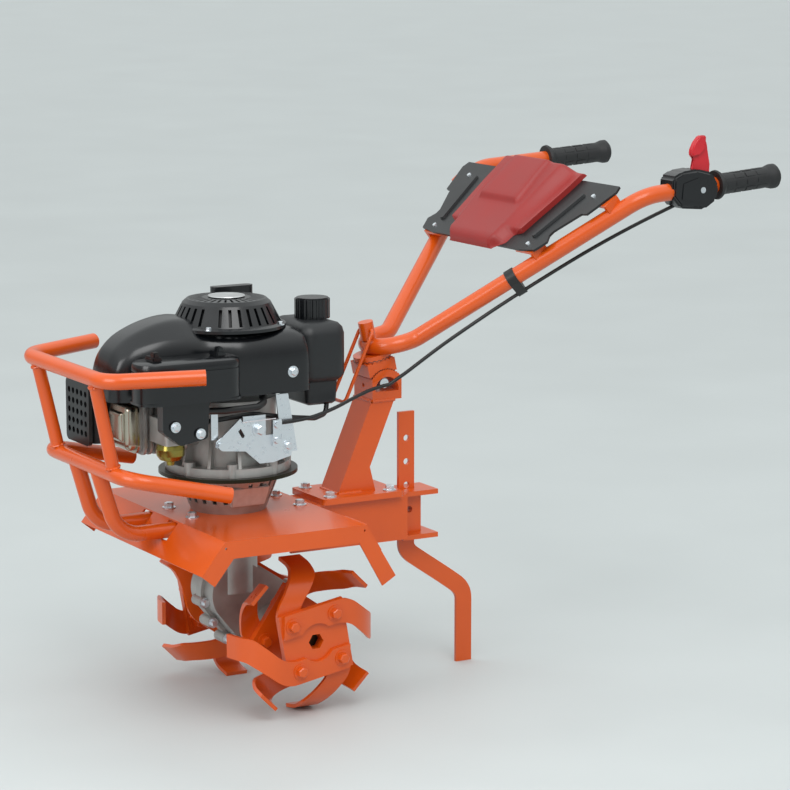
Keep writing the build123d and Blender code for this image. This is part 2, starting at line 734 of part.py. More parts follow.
with BuildPart() as crankcase:
    with BuildSketch(Plane.XY.offset(FLANGE_Z + FLANGE_T)):
        with Locations((ENGINE_X, 0)):
            Circle(SUMP_R)
    extrude(amount=SUMP_T)
    with BuildSketch(Plane.XY.offset(FLANGE_Z + FLANGE_T)):
        with Locations((ENGINE_X, 0)):
            Circle(CASE_WALL_R)
    extrude(amount=CASE_TOP - FLANGE_Z - FLANGE_T)
    with BuildSketch(Plane.XY.offset(FLANGE_Z + FLANGE_T)):
        with Locations((ENGINE_X, 0)):
            with PolarLocations(SUMP_R - 7, SUMP_BOLTS, start_angle=180 / SUMP_BOLTS):
                Circle(9)
    extrude(amount=SUMP_T + 8)
    for k in range(SUMP_RIBS):
        with BuildSketch(engine_plane(360 / SUMP_RIBS * (k + 0.5))):
            with BuildLine():
                Polyline(
                    (CASE_WALL_R - 2, FLANGE_Z + FLANGE_T + SUMP_T),
                    (SUMP_R - 4, FLANGE_Z + FLANGE_T + SUMP_T),
                    (CASE_WALL_R, CASE_TOP - 30),
                    (CASE_WALL_R - 2, CASE_TOP - 30),
                    close=True,
                )
            make_face()
        extrude(amount=2.5, both=True)
with BuildPart() as cylinder:
    with BuildSketch(Plane.YZ.offset(ENGINE_X + 40)):
        with Locations((0, CYL_Z)):
            RectangleRounded(76, 76, 10)
    extrude(amount=CYL_FRONT - ENGINE_X - 40)
    for k in range(8):
        with BuildSketch(Plane.YZ.offset(CYL_FRONT - 10 - 10 * k)):
            with Locations((0, CYL_Z)):
                RectangleRounded(92, 88, 12)
        extrude(amount=4)
    add(crankcase.part, mode=Mode.SUBTRACT)
with BuildPart() as valve_cover:
    with BuildSketch(Plane.YZ.offset(CYL_FRONT)):
        with Locations((0, CYL_Z)):
            RectangleRounded(82, 84, 14)
    extrude(amount=5)
    with BuildSketch(Plane.YZ.offset(CYL_FRONT + 5)):
        with Locations((0, CYL_Z)):
            RectangleRounded(70, 72, 12)
    extrude(amount=20, taper=8)
    with BuildSketch(Plane.YZ.offset(CYL_FRONT)):
        with Locations((0, CYL_Z)):
            RectangleRounded(58, 60, 10)
    extrude(amount=20, mode=Mode.SUBTRACT)

# Exhaust
COVER_Z = 522
BOWL_X = AXLE_X + 204
BOWL_Y = 88
MUFFLER_X = AXLE_X + 192
MUFFLER_Z = 428
with BuildPart() as muffler:
    with BuildSketch(Plane.XY.offset(MUFFLER_Z)):
        with Locations((MUFFLER_X + 40, -102)):
            RectangleRounded(80, 84, 16)
    extrude(amount=96)
    with BuildSketch(Plane.XZ.offset(46)):
        with Locations((AXLE_X + 213, CYL_Z)):
            Circle(15)
    extrude(amount=20)
    with BuildSketch(Plane.XY.offset(MUFFLER_Z + 2)):
        with Locations((MUFFLER_X + 40, -102)):
            RectangleRounded(76, 80, 14)
    extrude(amount=92, mode=Mode.SUBTRACT)
    with BuildSketch(Plane.YZ.offset(MUFFLER_X + 60)):
        with Locations((-102, MUFFLER_Z + 66)):
            Circle(8)
    extrude(amount=30, mode=Mode.SUBTRACT)
with BuildPart() as muffler_guard:
    with BuildSketch(Plane.YZ.offset(MUFFLER_X + 80)):
        with Locations((-102, MUFFLER_Z + 48)):
            RectangleRounded(90, 102, 10)
            with GridLocations(16, 16, 5, 5):
                Circle(5, mode=Mode.SUBTRACT)
    extrude(amount=6)

# Intake side: carburettor with its bowl, intake body with a base plate, air cleaner cover
CARB_Z = 448
CARB_FACE = 110
INTAKE_DEPTH = 20
INTAKE_SCREWS = ((216, 482), (173, 468))
with BuildPart() as carburettor:
    with BuildSketch(Plane.XY.offset(CARB_Z)):
        with Locations((BOWL_X, CARB_FACE - 32)):
            RectangleRounded(36, 64, 6)
    extrude(amount=40)
with BuildPart() as carburettor_bowl:
    with BuildSketch(upright_plane(BOWL_Y)):
        with BuildLine():
            Polyline(
                (BOWL_X, CARB_Z),
                (BOWL_X + 21, CARB_Z),
                (BOWL_X + 23, CARB_Z - 8),
                (BOWL_X + 22, CARB_Z - 18),
                (BOWL_X + 17, CARB_Z - 25),
                (BOWL_X + 7, CARB_Z - 28),
                (BOWL_X + 6, CARB_Z - 34),
                (BOWL_X, CARB_Z - 34),
                close=True,
            )
        make_face()
    revolve(axis=Axis((BOWL_X, BOWL_Y, 0), (0, 0, 1)))
with BuildPart() as intake_body:
    with BuildSketch(upright_plane(CARB_FACE)):
        with BuildLine():
            FilletPolyline(
                (AXLE_X + 236, COVER_Z),
                (AXLE_X + 236, 474),
                (AXLE_X + 206, 451),
                (AXLE_X + 159, 459),
                (AXLE_X + 155, COVER_Z),
                radius=6,
                close=True,
            )
        make_face()
    extrude(amount=-INTAKE_DEPTH)
    for boss_x, boss_z in INTAKE_SCREWS:
        with BuildSketch(upright_plane(CARB_FACE)):
            with Locations((AXLE_X + boss_x, boss_z)):
                Circle(9)
        extrude(amount=-INTAKE_DEPTH - 3)
    with BuildSketch(Plane.XY.offset(COVER_Z - 4)):
        with Locations((AXLE_X + 185, 107)):
            RectangleRounded(176, 70, 24)
    extrude(amount=4)
with BuildPart() as air_cleaner_cover:
    with BuildSketch(Plane.XY.offset(COVER_Z)):
        with Locations((AXLE_X + 185, 107)):
            RectangleRounded(176, 70, 24)
    extrude(amount=62)
    fillet(air_cleaner_cover.faces().sort_by(Axis.Z)[-1].edges(), radius=5)
    with BuildSketch(Plane.XY.offset(COVER_Z)):
        with Locations((AXLE_X + 185, 107)):
            RectangleRounded(170, 64, 21)
    extrude(amount=58, mode=Mode.SUBTRACT)

# Cooling: blower shroud and recoil starter
SHROUD_Z = 512
SHROUD_TOP = 612
SHROUD_REAR = AXLE_X - 65
RECOIL_SLOTS = 32
SHROUD_WALL = 3
with BuildPart() as shroud_block:
    with BuildSketch(Plane.XY.offset(SHROUD_Z)) as shroud_plan:
        with BuildLine():
            FilletPolyline(
                (SHROUD_REAR, 92),
                (AXLE_X + 72, 92),
                (AXLE_X + 96, 69),
                (AXLE_X + 230, 62),
                (AXLE_X + 285, 34),
                (AXLE_X + 285, -34),
                (AXLE_X + 240, -58),
                (AXLE_X + 180, -60),
                (AXLE_X + 130, -92),
                (SHROUD_REAR, -92),
                radius=10,
                close=True,
            )
        make_face()
    extrude(amount=SHROUD_TOP - SHROUD_Z)
    with BuildSketch(upright_plane(0)) as shroud_side:
        with BuildLine():
            FilletPolyline(
                (SHROUD_REAR, SHROUD_Z - 60),
                (SHROUD_REAR, SHROUD_TOP),
                (ENGINE_X + 92, SHROUD_TOP),
                (AXLE_X + 236, 588),
                (AXLE_X + 285, 540),
                (AXLE_X + 285, SHROUD_Z - 60),
                radius=10,
                close=True,
            )
        make_face()
    extrude(amount=120, both=True, mode=Mode.INTERSECT)
with BuildPart() as shroud_core:
    with BuildSketch(Plane.XY.offset(SHROUD_Z - 5)):
        offset(shroud_plan.sketch_local, amount=-SHROUD_WALL)
    extrude(amount=SHROUD_TOP - SHROUD_Z)
    with BuildSketch(upright_plane(0)):
        offset(shroud_side.sketch_local, amount=-SHROUD_WALL)
    extrude(amount=120, both=True, mode=Mode.INTERSECT)
with BuildPart() as blower_shroud:
    add(shroud_block.part)
    add(shroud_core.part, mode=Mode.SUBTRACT)
with BuildPart() as recoil_starter:
    with BuildSketch(upright_plane(0)):
        with BuildLine():
            Polyline(
                (ENGINE_X, SHROUD_TOP + 49),
                (ENGINE_X + 64, SHROUD_TOP + 46),
                (ENGINE_X + 71, SHROUD_TOP + 40),
                (ENGINE_X + 88, SHROUD_TOP + 8),
                (ENGINE_X + 95, SHROUD_TOP + 5),
                (ENGINE_X + 95, SHROUD_TOP),
                (ENGINE_X + 84, SHROUD_TOP),
                (ENGINE_X + 67, SHROUD_TOP + 38),
                (ENGINE_X + 62, SHROUD_TOP + 42),
                (ENGINE_X, SHROUD_TOP + 45),
                close=True,
            )
        make_face()
    revolve(axis=engine_line)
    for k in range(RECOIL_SLOTS):
        if k % 8 == 4:
            continue
        with BuildSketch(engine_plane(360 / RECOIL_SLOTS * k)):
            with Locations((80, SHROUD_TOP + 23)):
                Rectangle(30, 26)
        extrude(amount=2.6, both=True, mode=Mode.SUBTRACT)
    for k in range(RECOIL_SLOTS):
        with BuildSketch(engine_plane(360 / RECOIL_SLOTS * (k + 0.5))):
            with Locations((50, SHROUD_TOP + 46)):
                Rectangle(22, 20)
        extrude(amount=1.7, both=True, mode=Mode.SUBTRACT)
with BuildPart() as starter_grip:
    with BuildSketch(Plane.XY.offset(SHROUD_TOP + 36)):
        with Locations((AXLE_X + 10, -82)):
            RectangleRounded(74, 20, 9)
    extrude(amount=16)
    with BuildSketch(Plane.XY.offset(SHROUD_TOP)):
        with Locations((AXLE_X + 7, -80)):
            Circle(6)
    extrude(amount=40)
    add(recoil_starter.part, mode=Mode.SUBTRACT)

# Fuel tank behind the shroud, with its cap
TANK_BACK = AXLE_X - 126
TANK_Z = 478
TANK_TOP = 602
TANK_X = (TANK_BACK + SHROUD_REAR) / 2
with BuildPart() as fuel_tank:
    with BuildSketch(Plane.XY.offset(TANK_Z)):
        with Locations((TANK_X, 0)):
            RectangleRounded(SHROUD_REAR - TANK_BACK, 130, 16)
    extrude(amount=TANK_TOP - TANK_Z)
    fillet(fuel_tank.faces().sort_by(Axis.Z)[-1].edges(), radius=14)
    fillet(fuel_tank.faces().sort_by(Axis.Z)[0].edges(), radius=8)
    with BuildSketch(Plane.XY.offset(TANK_TOP)):
        with Locations((TANK_X, 0)):
            Circle(16)
    extrude(amount=12)
with BuildPart() as fuel_cap:
    with BuildSketch(Plane.XY.offset(TANK_TOP + 12)):
        with Locations((TANK_X, 0)):
            Circle(29)
            with PolarLocations(30.5, 18):
                Circle(3, mode=Mode.SUBTRACT)
    extrude(amount=32)
    with BuildSketch(Plane.XY.offset(TANK_TOP + 44)):
        with Locations((TANK_X, 0)):
            Circle(26)
    extrude(amount=2)

# Grips on the bar ends: turned profile with a flange and a bulb
grip_way = (Vector(*BAR_TIP) - Vector(*ARM_END)).normalized()
grip_side = Plane(origin=BAR_TIP, x_dir=grip_way, z_dir=grip_way.cross(Vector(0, 0, 1)))
with BuildPart() as grip_left:
    with BuildSketch(grip_side):
        with BuildLine():
            Polyline(
                (6 - GRIP_LENGTH, BAR_R + PRESS_GAP),
                (6 - GRIP_LENGTH, GRIP_R + 7),
                (10 - GRIP_LENGTH, GRIP_R + 8),
                (15 - GRIP_LENGTH, GRIP_R + 5),
                (20 - GRIP_LENGTH, GRIP_R + 1),
                (-60, GRIP_R),
                (-16, GRIP_R + 1),
                (-5, GRIP_R + 4),
                (2, GRIP_R + 4),
                (6, GRIP_R),
                (6, 0),
                (0, 0),
                (0, BAR_R + PRESS_GAP),
                close=True,
            )
        make_face()
    revolve(axis=Axis(BAR_TIP, grip_way))
with BuildPart() as grip_right:
    mirror(grip_left.part, about=Plane.XZ)

# Throttle box and lever on the left arm
near_end = Plane(origin=BAR_TIP, z_dir=grip_way)
with BuildPart() as throttle_box:
    with BuildSketch(near_end.offset(6 - GRIP_LENGTH - 40)):
        RectangleRounded(66, 40, 18)
    extrude(amount=38, both=True)
    fillet(throttle_box.faces().sort_by(Axis.X)[0].edges(), radius=7)
    fillet(throttle_box.faces().sort_by(Axis.X)[-1].edges(), radius=7)
    add(bar_rod.part, mode=Mode.SUBTRACT)
with BuildPart() as throttle_lever:
    with BuildSketch(upright_plane(256)):
        with BuildLine():
            FilletPolyline(
                (AXLE_X - 645, 840),
                (AXLE_X - 671, 840),
                (AXLE_X - 676, 878),
                (AXLE_X - 698, 900),
                (AXLE_X - 690, 908),
                (AXLE_X - 662, 888),
                radius=4,
                close=True,
            )
        make_face()
    extrude(amount=5, both=True)
    add(throttle_box.part, mode=Mode.SUBTRACT)

# Console: tabs on the arms, a waisted plate and a moulded cover, on planes parallel to the arms
arm_rise = Vector(*ARM_END) - rise_point
ARM_RUN = Vector(arm_rise.X, 0, arm_rise.Z).length
ARM_SPREAD = arm_rise.Y / ARM_RUN
arm_flat = Vector(arm_rise.X, 0, arm_rise.Z).normalized()
console_base = Plane(
    origin=(rise_point.X, 0, rise_point.Z), x_dir=arm_flat, z_dir=(arm_flat.Z, 0, -arm_flat.X)
)
plate_edge = [
    (204, 139), (209, 179), (231, 191), (245, 181), (255, 181),
    (301, 208), (303, 222), (359, 241), (372, 236),
]
with BuildPart() as console_tabs:
    for run, inner in TAB_PLACES:
        arm_y = BAR_BEND + ARM_SPREAD * run
        for side in (-1, 1):
            with BuildSketch(console_base.offset(CONSOLE_LIFT - TAB_T)):
                with Locations((run, side * (inner + arm_y + 4) / 2)):
                    Rectangle(28, arm_y + 4 - inner)
            extrude(amount=TAB_T)
            with BuildSketch(console_base):
                with Locations((run, side * arm_y)):
                    Rectangle(28, 8)
            extrude(amount=CONSOLE_LIFT)
    add(bar_rod.part, mode=Mode.SUBTRACT)
with BuildPart() as console_plate:
    with BuildSketch(console_base.offset(CONSOLE_LIFT)):
        with BuildLine():
            Polyline(*plate_edge, *[(x, -y) for x, y in reversed(plate_edge)], close=True)
        make_face()
    extrude(amount=CONSOLE_T)
    with BuildSketch(console_base.offset(CONSOLE_LIFT + CONSOLE_T)):
        for side in (-1, 1):
            with Locations((288, side * 158)):
                SlotOverall(112, 11, rotation=side * 12)
    extrude(amount=4, taper=20)
COVER_BASE = CONSOLE_LIFT + CONSOLE_T
cover_foot = [(193, 58), (203, 92), (372, 112), (384, 92)]
cover_crown = [(0, 40), (12, 64), (150, 72), (160, 60)]
cover_ledge = [(236, 80), (240, 111), (368, 140), (370, 90)]
cover_top = console_base.offset(COVER_BASE)
crown_plane = Plane(
    origin=cover_top.from_local_coords(Vector(214, 0, 16)),
    x_dir=cover_top.from_local_coords(Vector(160, 0, 14)) - cover_top.origin,
    z_dir=cover_top.from_local_coords(Vector(-14, 0, 160)) - cover_top.origin,
)
with BuildPart() as console_cover:
    with BuildSketch(cover_top):
        with BuildLine():
            Polyline(*cover_foot, *[(x, -y) for x, y in reversed(cover_foot)], close=True)
        make_face()
    with BuildSketch(crown_plane):
        with BuildLine():
            Polyline(*cover_crown, *[(x, -y) for x, y in reversed(cover_crown)], close=True)
        make_face()
    loft(ruled=True)
    with BuildSketch(cover_top):
        for side in (-1, 1):
            with BuildLine():
                Polyline(*[(x, side * y) for x, y in cover_ledge][::-side], close=True)
            make_face()
    extrude(amount=10, taper=12)

# Throttle cable in two lengths that meet beside the head, and the band that ties it to the left arm
cable_split = Vector(AXLE_X - 208, 53, 501)
engine_route = [
    (AXLE_X + 20, 106, 467),
    (AXLE_X - 26, 104, 469),
    (AXLE_X - 88, 89, 473),
    (AXLE_X - 140, 69, 480),
    (AXLE_X - 186, 57, 491),
    cable_split,
]
handle_route = [
    cable_split + CABLE_PART,
    (AXLE_X - 231, 55, 513),
    (AXLE_X - 262, 80, 545),
    (AXLE_X - 294, 104, 576),
    CABLE_AT_BAND,
    (AXLE_X - 560, 205, 750),
    (AXLE_X - 640, 251, 790),
]
with BuildPart() as throttle_cable_engine:
    with BuildLine() as engine_cable:
        FilletPolyline(*engine_route, radius=60)
    with BuildSketch(Plane(origin=engine_cable.line @ 0, z_dir=engine_cable.line % 0)):
        Circle(CABLE_R)
    sweep()
with BuildPart() as throttle_cable_handle:
    with BuildLine() as handle_cable:
        FilletPolyline(*handle_route, radius=60)
    with BuildSketch(Plane(origin=handle_cable.line @ 0, z_dir=handle_cable.line % 0)):
        Circle(CABLE_R)
    sweep()
    add(throttle_box.part, mode=Mode.SUBTRACT)
BAND_Y = BAR_BEND + ARM_SPREAD * BAND_RUN
band_spot = console_base.from_local_coords(Vector(BAND_RUN, 0, 0)) + Vector(0, BAND_Y, 0)
band_plane = Plane(origin=band_spot, z_dir=arm_rise)
cable_spot = band_plane.to_local_coords(Vector(*CABLE_AT_BAND))
with BuildPart() as cable_band:
    with BuildSketch(band_plane):
        Circle(BAR_R + 2)
        with Locations((cable_spot.X, cable_spot.Y)):
            Circle(CABLE_R + 3)
        make_hull()
    extrude(amount=8, both=True)
    add(bar_rod.part, mode=Mode.SUBTRACT)
    add(throttle_cable_handle.part, mode=Mode.SUBTRACT)

# Control side of the engine: plate on stand-offs, stay of the tank, breather and fuel hoses
with BuildPart() as control_plate:
    with BuildSketch(upright_plane(CONTROL_Y)):
        with BuildLine():
            Polyline(
                (AXLE_X + 132, 437),
                (AXLE_X + 132, CARB_Z - 2),
                (AXLE_X + 104, CARB_Z - 2),
                (AXLE_X + 104, 468),
                (AXLE_X + 98, 472),
                (AXLE_X + 84, 472),
                (AXLE_X + 84, 482),
                (AXLE_X + 44, 482),
                (AXLE_X + 44, 434),
                (AXLE_X - 2, 434),
                (AXLE_X - 2, 412),
                (AXLE_X + 30, 404),
                (AXLE_X + 55, 404),
                (AXLE_X + 80, 426),
                (AXLE_X + 120, 430),
                close=True,
            )
        make_face()
        with Locations((AXLE_X + 88, 457)):
            SlotOverall(20, 6, rotation=60, mode=Mode.SUBTRACT)
    extrude(amount=-3)
    for stand_x, stand_z in ((60, 466), (98, 438)):
        with BuildSketch(upright_plane(CONTROL_Y)):
            with Locations((AXLE_X + stand_x, stand_z)):
                Circle(6)
        extrude(amount=CONTROL_Y - 50)
    with BuildSketch(upright_plane(CONTROL_Y + 3)):
        with Locations((AXLE_X + 26, 452)):
            Rectangle(16, 42)
    extrude(amount=-6)
    with BuildSketch(upright_plane(CONTROL_Y)):
        with Locations((AXLE_X + 31, 440)):
            Rectangle(28, 18)
    extrude(amount=-3)
    add(crankcase.part, mode=Mode.SUBTRACT)
    add(throttle_cable_engine.part, mode=Mode.SUBTRACT)
with BuildPart() as tank_stay:
    with BuildSketch(upright_plane(CONTROL_Y - 3)):
        with BuildLine():
            Polyline(
                (AXLE_X + 24, SHROUD_Z),
                (AXLE_X + 2, SHROUD_Z),
                (AXLE_X - 14, 418),
                (AXLE_X + 12, 418),
                close=True,
            )
        make_face()
    extrude(amount=-3)
with BuildPart() as breather_hose:
    with BuildLine() as breather_path:
        FilletPolyline(
            (AXLE_X + 160, 118, 500),
            (AXLE_X + 122, 114, 497),
            (AXLE_X + 80, 107, 496),
            (AXLE_X + 58, 104, 496),
            (AXLE_X + 42, 94, 500),
            (AXLE_X + 38, 80, 506),
            (AXLE_X + 38, 75, 522),
            radius=13,
        )
    with BuildSketch(Plane(origin=breather_path.line @ 0, z_dir=breather_path.line % 0)):
        Circle(5.5)
    sweep()
    add(intake_body.part, mode=Mode.SUBTRACT)
with BuildPart() as fuel_hose:
    with BuildLine() as fuel_path:
        FilletPolyline(
            (AXLE_X - 100, 40, TANK_Z + 4),
            (AXLE_X - 96, 44, TANK_Z - 16),
            (AXLE_X - 70, 54, TANK_Z - 20),
            (AXLE_X - 25, 72, TANK_Z - 12),
            (AXLE_X + 15, 86, TANK_Z - 4),
            (AXLE_X + 60, 88, TANK_Z + 4),
            (AXLE_X + 188, 88, TANK_Z - 4),
            radius=14,
        )
    with BuildSketch(Plane(origin=fuel_path.line @ 0, z_dir=fuel_path.line % 0)):
        Circle(4)
    sweep()
    add(fuel_tank.part, mode=Mode.SUBTRACT)
    add(carburettor.part, mode=Mode.SUBTRACT)

pieces = {
    "rotor_axle": rotor_axle,
    "rotor_left_hub": rotor_left_hub,
    "rotor_right_hub": rotor_right_hub,
    "tines_left_outer": tines_left_outer,
    "tines_left_inner": tines_left_inner,
    "tines_right_outer": tines_right_outer,
    "tines_right_inner": tines_right_inner,
    "gearbox_case_left": gearbox_case_left,
    "gearbox_case_right": gearbox_case_right,
    "fender": fender,
    "bumper_upper_rail": bumper_upper_rail,
    "bumper_lower_rail": bumper_lower_rail,
    "bumper_uprights": bumper_uprights,
    "bumper_supports": bumper_supports,
    "rear_beam": rear_beam,
    "handle_post": handle_post,
    "post_head": post_head,
    "pitch_saddle": pitch_saddle,
    "clamp_bolt": clamp_bolt,
    "handlebar_tube": handlebar_tube,
    "yaw_plate": yaw_plate,
    "locking_nut": locking_nut,
    "locking_bail": locking_bail,
    "hitch_socket": hitch_socket,
    "drag_stake": drag_stake,
    "clutch_housing": clutch_housing,
    "engine_flange": engine_flange,
    "crankcase": crankcase,
    "cylinder": cylinder,
    "valve_cover": valve_cover,
    "muffler": muffler,
    "muffler_guard": muffler_guard,
    "carburettor": carburettor,
    "intake_body": intake_body,
    "air_cleaner_cover": air_cleaner_cover,
    "blower_shroud": blower_shroud,
    "recoil_starter": recoil_starter,
    "starter_grip": starter_grip,
    "fuel_tank": fuel_tank,
    "fuel_cap": fuel_cap,
    "grip_left": grip_left,
    "grip_right": grip_right,
    "throttle_box": throttle_box,
    "throttle_lever": throttle_lever,
    "console_tabs": console_tabs,
    "console_plate": console_plate,
    "console_cover": console_cover,
    "throttle_cable_engine": throttle_cable_engine,
    "throttle_cable_handle": throttle_cable_handle,
    "cable_band": cable_band,
    "control_plate": control_plate,
    "tank_stay": tank_stay,
    "breather_hose": breather_hose,
    "fuel_hose": fuel_hose,
    "carburettor_bowl": carburettor_bowl,
}
for name, piece in pieces.items():
    piece.part.label = name
    export_step(piece.part, f"parts/{name}.step")
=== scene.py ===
"""Looks of a small petrol tiller on a tine rotor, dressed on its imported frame, in metres."""
import json
from math import cos, pi, radians, sin, tau

import bmesh
import bpy
from mathutils import Matrix, Vector


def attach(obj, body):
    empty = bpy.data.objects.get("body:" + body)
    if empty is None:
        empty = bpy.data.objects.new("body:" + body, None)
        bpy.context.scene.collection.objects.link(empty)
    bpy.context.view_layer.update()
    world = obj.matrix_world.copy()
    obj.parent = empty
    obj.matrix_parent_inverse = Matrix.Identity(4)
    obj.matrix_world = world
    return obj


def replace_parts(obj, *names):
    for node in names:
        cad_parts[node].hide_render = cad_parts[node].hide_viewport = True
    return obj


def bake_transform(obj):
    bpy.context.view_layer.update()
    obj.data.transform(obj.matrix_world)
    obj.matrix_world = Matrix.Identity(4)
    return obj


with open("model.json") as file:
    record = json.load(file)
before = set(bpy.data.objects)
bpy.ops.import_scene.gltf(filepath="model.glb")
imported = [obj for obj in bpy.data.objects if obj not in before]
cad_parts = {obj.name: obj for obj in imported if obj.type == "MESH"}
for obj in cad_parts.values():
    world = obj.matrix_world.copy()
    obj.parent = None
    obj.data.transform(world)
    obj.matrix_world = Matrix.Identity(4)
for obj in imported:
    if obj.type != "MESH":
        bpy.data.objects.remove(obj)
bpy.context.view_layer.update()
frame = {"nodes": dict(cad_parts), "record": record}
nodes = frame["nodes"]

# Places and sizes shared with the solids
AXLE = Vector((0.240, 0, 0.125))
ENGINE_X = 0.300
PLATE_TURN = -10
TINE_BOLT = 0.038
OUTER_PLATE_Y = 0.184
INNER_PLATE_Y = 0.104
TINE_STACK = 0.009
FENDER_TOP = 0.315
BASE_TOP = 0.322
SHROUD_TOP = 0.612
CONTROL_FACE = 0.103
INTAKE_FACE = 0.133
AIR_TOP = 0.584
PIVOT = Vector((0.022, 0, 0.488))
COLUMN_TILT = 12
SECTOR_R = 0.0356
SECTOR_DEPTH = 0.002
SECTOR_STEP = 3.75
SADDLE_SIDE = 0.0291
YAW_TEETH = 24
YAW_PLANE = 0.0508
YAW_TOOTH = 0.0024
YAW_PLATE_R = 0.0310
CABLE_R = 0.003
POST_FOOT = (0.071, 0.114, 0.030)
POST_TOP = (0.007, 0.050, 0.030)
HEAD_BASE = 0.472
ARM_FOOT = Vector((-0.0227, 0.045, 0.5711))
ARM_END = Vector((-0.325, 0.264, 0.812))
BAR_TIP = Vector((-0.589, 0.252, 0.830))
GRIP_R = 0.0165
CONSOLE_TOP = 0.030
RECOIL_FOOT_R = 0.090

# Hexagon heads: width over the flats by place, and that width over the corner's radius
TINE_FLATS = 0.015
LUG_FLATS = 0.010
DECK_FLATS = 0.013
HEX_RATIO = 1.732
# Bolts of the fender and the base plate: X from the axle and height, and their distance to the side
DECK_BOLTS = ((0.146, FENDER_TOP), (-0.048, FENDER_TOP), (-0.104, BASE_TOP), (-0.216, BASE_TOP))
DECK_BOLT_Y = 0.043

# Weld beads, and the lines of painted shade in the toothed joints
WELD_R = 0.0028
RING_WELD_R = 0.0022
WELD_SIDES = 8
WELD_SWELL = 0.25
WELD_STEPS = 12
WELD_HALF_STEPS = 8
RING_STEPS = 28
TOOTH_SHADE_R = 0.0006
TOOTH_SHADE_SIDES = 6
SECTOR_STEPS = 11

# Levers of the control plate, pad of the clutch cone, and pads of the grips
LEVER_T = 0.0025
WIRE_R = 0.0008
STRAP_Y = 0.094
PAD_T = 0.016
PAD_REACH = (0.024, 0.042)
PAD_PITCH = 0.023

# Angle in degrees above which an edge stays sharp, and steps and least radius of a rounded corner
SHARP_ANGLE = 35
CORNER_STEPS = 8
CORNER_LEAST = 0.002

# Shroud by stations along X from the axle: left edge, right edge, top of the walls and of the spine
SHROUD_FOOT = 0.512
SHROUD_ROUND = 0.36
SHROUD_STEPS = 64
SPINE_FADE = (0.85, 0.35)
SHROUD_STATIONS = (
    (-0.046, 0.080, -0.080, 0.596, 0.596), (-0.046, 0.092, -0.092, 0.612, 0.612),
    (0.020, 0.092, -0.092, 0.613, 0.613), (0.075, 0.092, -0.092, 0.612, 0.612),
    (0.100, 0.080, -0.092, 0.612, 0.622), (0.128, 0.069, -0.090, 0.613, 0.631),
    (0.158, 0.067, -0.078, 0.618, 0.635), (0.190, 0.065, -0.066, 0.617, 0.632),
    (0.222, 0.062, -0.060, 0.611, 0.623), (0.256, 0.056, -0.054, 0.598, 0.607),
    (0.280, 0.044, -0.042, 0.572, 0.579), (0.285, 0.034, -0.034, 0.520, 0.520))
# Lid of the air cleaner, valve cover and tank: corners of their boxes and radius of the corners
LID_BOX = ((0.337, 0.072, 0.522), (0.513, 0.142, 0.584))
LID_R = 0.030
VALVE_BOX = ((0.475, -0.041, 0.425), (0.500, 0.041, 0.509))
VALVE_R = 0.016
TANK_BOX = ((0.112, -0.065, 0.478), (0.196, 0.065, 0.614))
TANK_R = 0.022
# Their rings from the bottom up, or from the engine out: height and inset
LID_RINGS = ((0, 0), (0.046, 0), (0.0465, 0.0012), (0.048, 0.0012), (0.0485, 0), (0.055, 0),
             (0.0595, 0.0015), (0.062, 0.006))
VALVE_RIM = [(0, 0), (0.003, 0), (0.0035, 0.005)]
TANK_RINGS = ((0, 0.020), (0.004, 0.014), (0.038, 0.012), (0.044, 0.004), (0.050, 0), (0.116, 0),
              (0.126, 0.003), (0.133, 0.010), (0.136, 0.020))
# Middle line of the drag stake, X and Z
STAKE_LINE = ((-0.031, 0.443), (-0.031, 0.230), (-0.031, 0.206), (-0.058, 0.187), (-0.112, 0.150),
              (-0.144, 0.126), (-0.144, 0.092), (-0.144, 0.0001))
STAKE_HALF = 0.015
STAKE_T = 0.006
STAKE_HOLES = (0.278, 0.318, 0.358, 0.398)
STAKE_HOLE_R = 0.0055
HOLE_SIDES = 24

# Lugs of the gearbox rim and half its width over the lugs, from the axle
RIM_LUGS = ((0.112, 0.040), (0.098, 0.005), (0.072, -0.025), (0.040, -0.052),
            (0.0, -0.067), (-0.042, -0.052), (-0.066, -0.008), (-0.052, 0.046))
LUG_HALF = 0.016

# Throttle cable: from the engine's control clip to where it parts beside the head,
# and on to the throttle box
CABLE_SPLIT = (0.032, 0.053, 0.501)
ENGINE_ROUTE = (
    (0.260, 0.106, 0.467), (0.214, 0.104, 0.467), (0.152, 0.087, 0.477), (0.100, 0.063, 0.488),
    (0.054, 0.050, 0.498), CABLE_SPLIT)
HANDLE_ROUTE = (
    CABLE_SPLIT, (0.009, 0.055, 0.513), (-0.022, 0.080, 0.545), (-0.054, 0.104, 0.576),
    (-0.166, 0.136, 0.649), (-0.320, 0.205, 0.750), (-0.402, 0.252, 0.795))

# Camera of the photograph: aim point, angles, distance and lens on a square sensor
CAMERA_AIM = Vector((-0.0107, 0, 0.472))
CAMERA_TURN = 29.7
CAMERA_RISE = 10.0
CAMERA_AWAY = 5.0
SENSOR_MM = 36.0
LENS_MM = 137.1

# Studio: half the floor's width, and the point that the lamps face
FLOOR_HALF = 30
LIGHT_AIM = (0, 0, 0.4)

# Span of the noise over which a material goes from its dark to its light tone
TONE_SPAN = (0.3, 0.7)


def colour(code):
    """Linear colour of an sRGB hex code."""
    parts = [int(code[i:i + 2], 16) / 255 for i in (1, 3, 5)]
    return [(c / 12.92 if c <= 0.04045 else ((c + 0.055) / 1.055) ** 2.4) for c in parts] + [1.0]


def add(tree, kind, inputs, **settings):
    """Adds a shader node, sets its properties, and fills or links its inputs."""
    node = tree.nodes.new(kind)
    for key, value in settings.items():
        setattr(node, key, value)
    for key, value in inputs.items():
        if isinstance(value, bpy.types.NodeSocket):
            tree.links.new(value, node.inputs[key])
        else:
            node.inputs[key].default_value = value
    return node


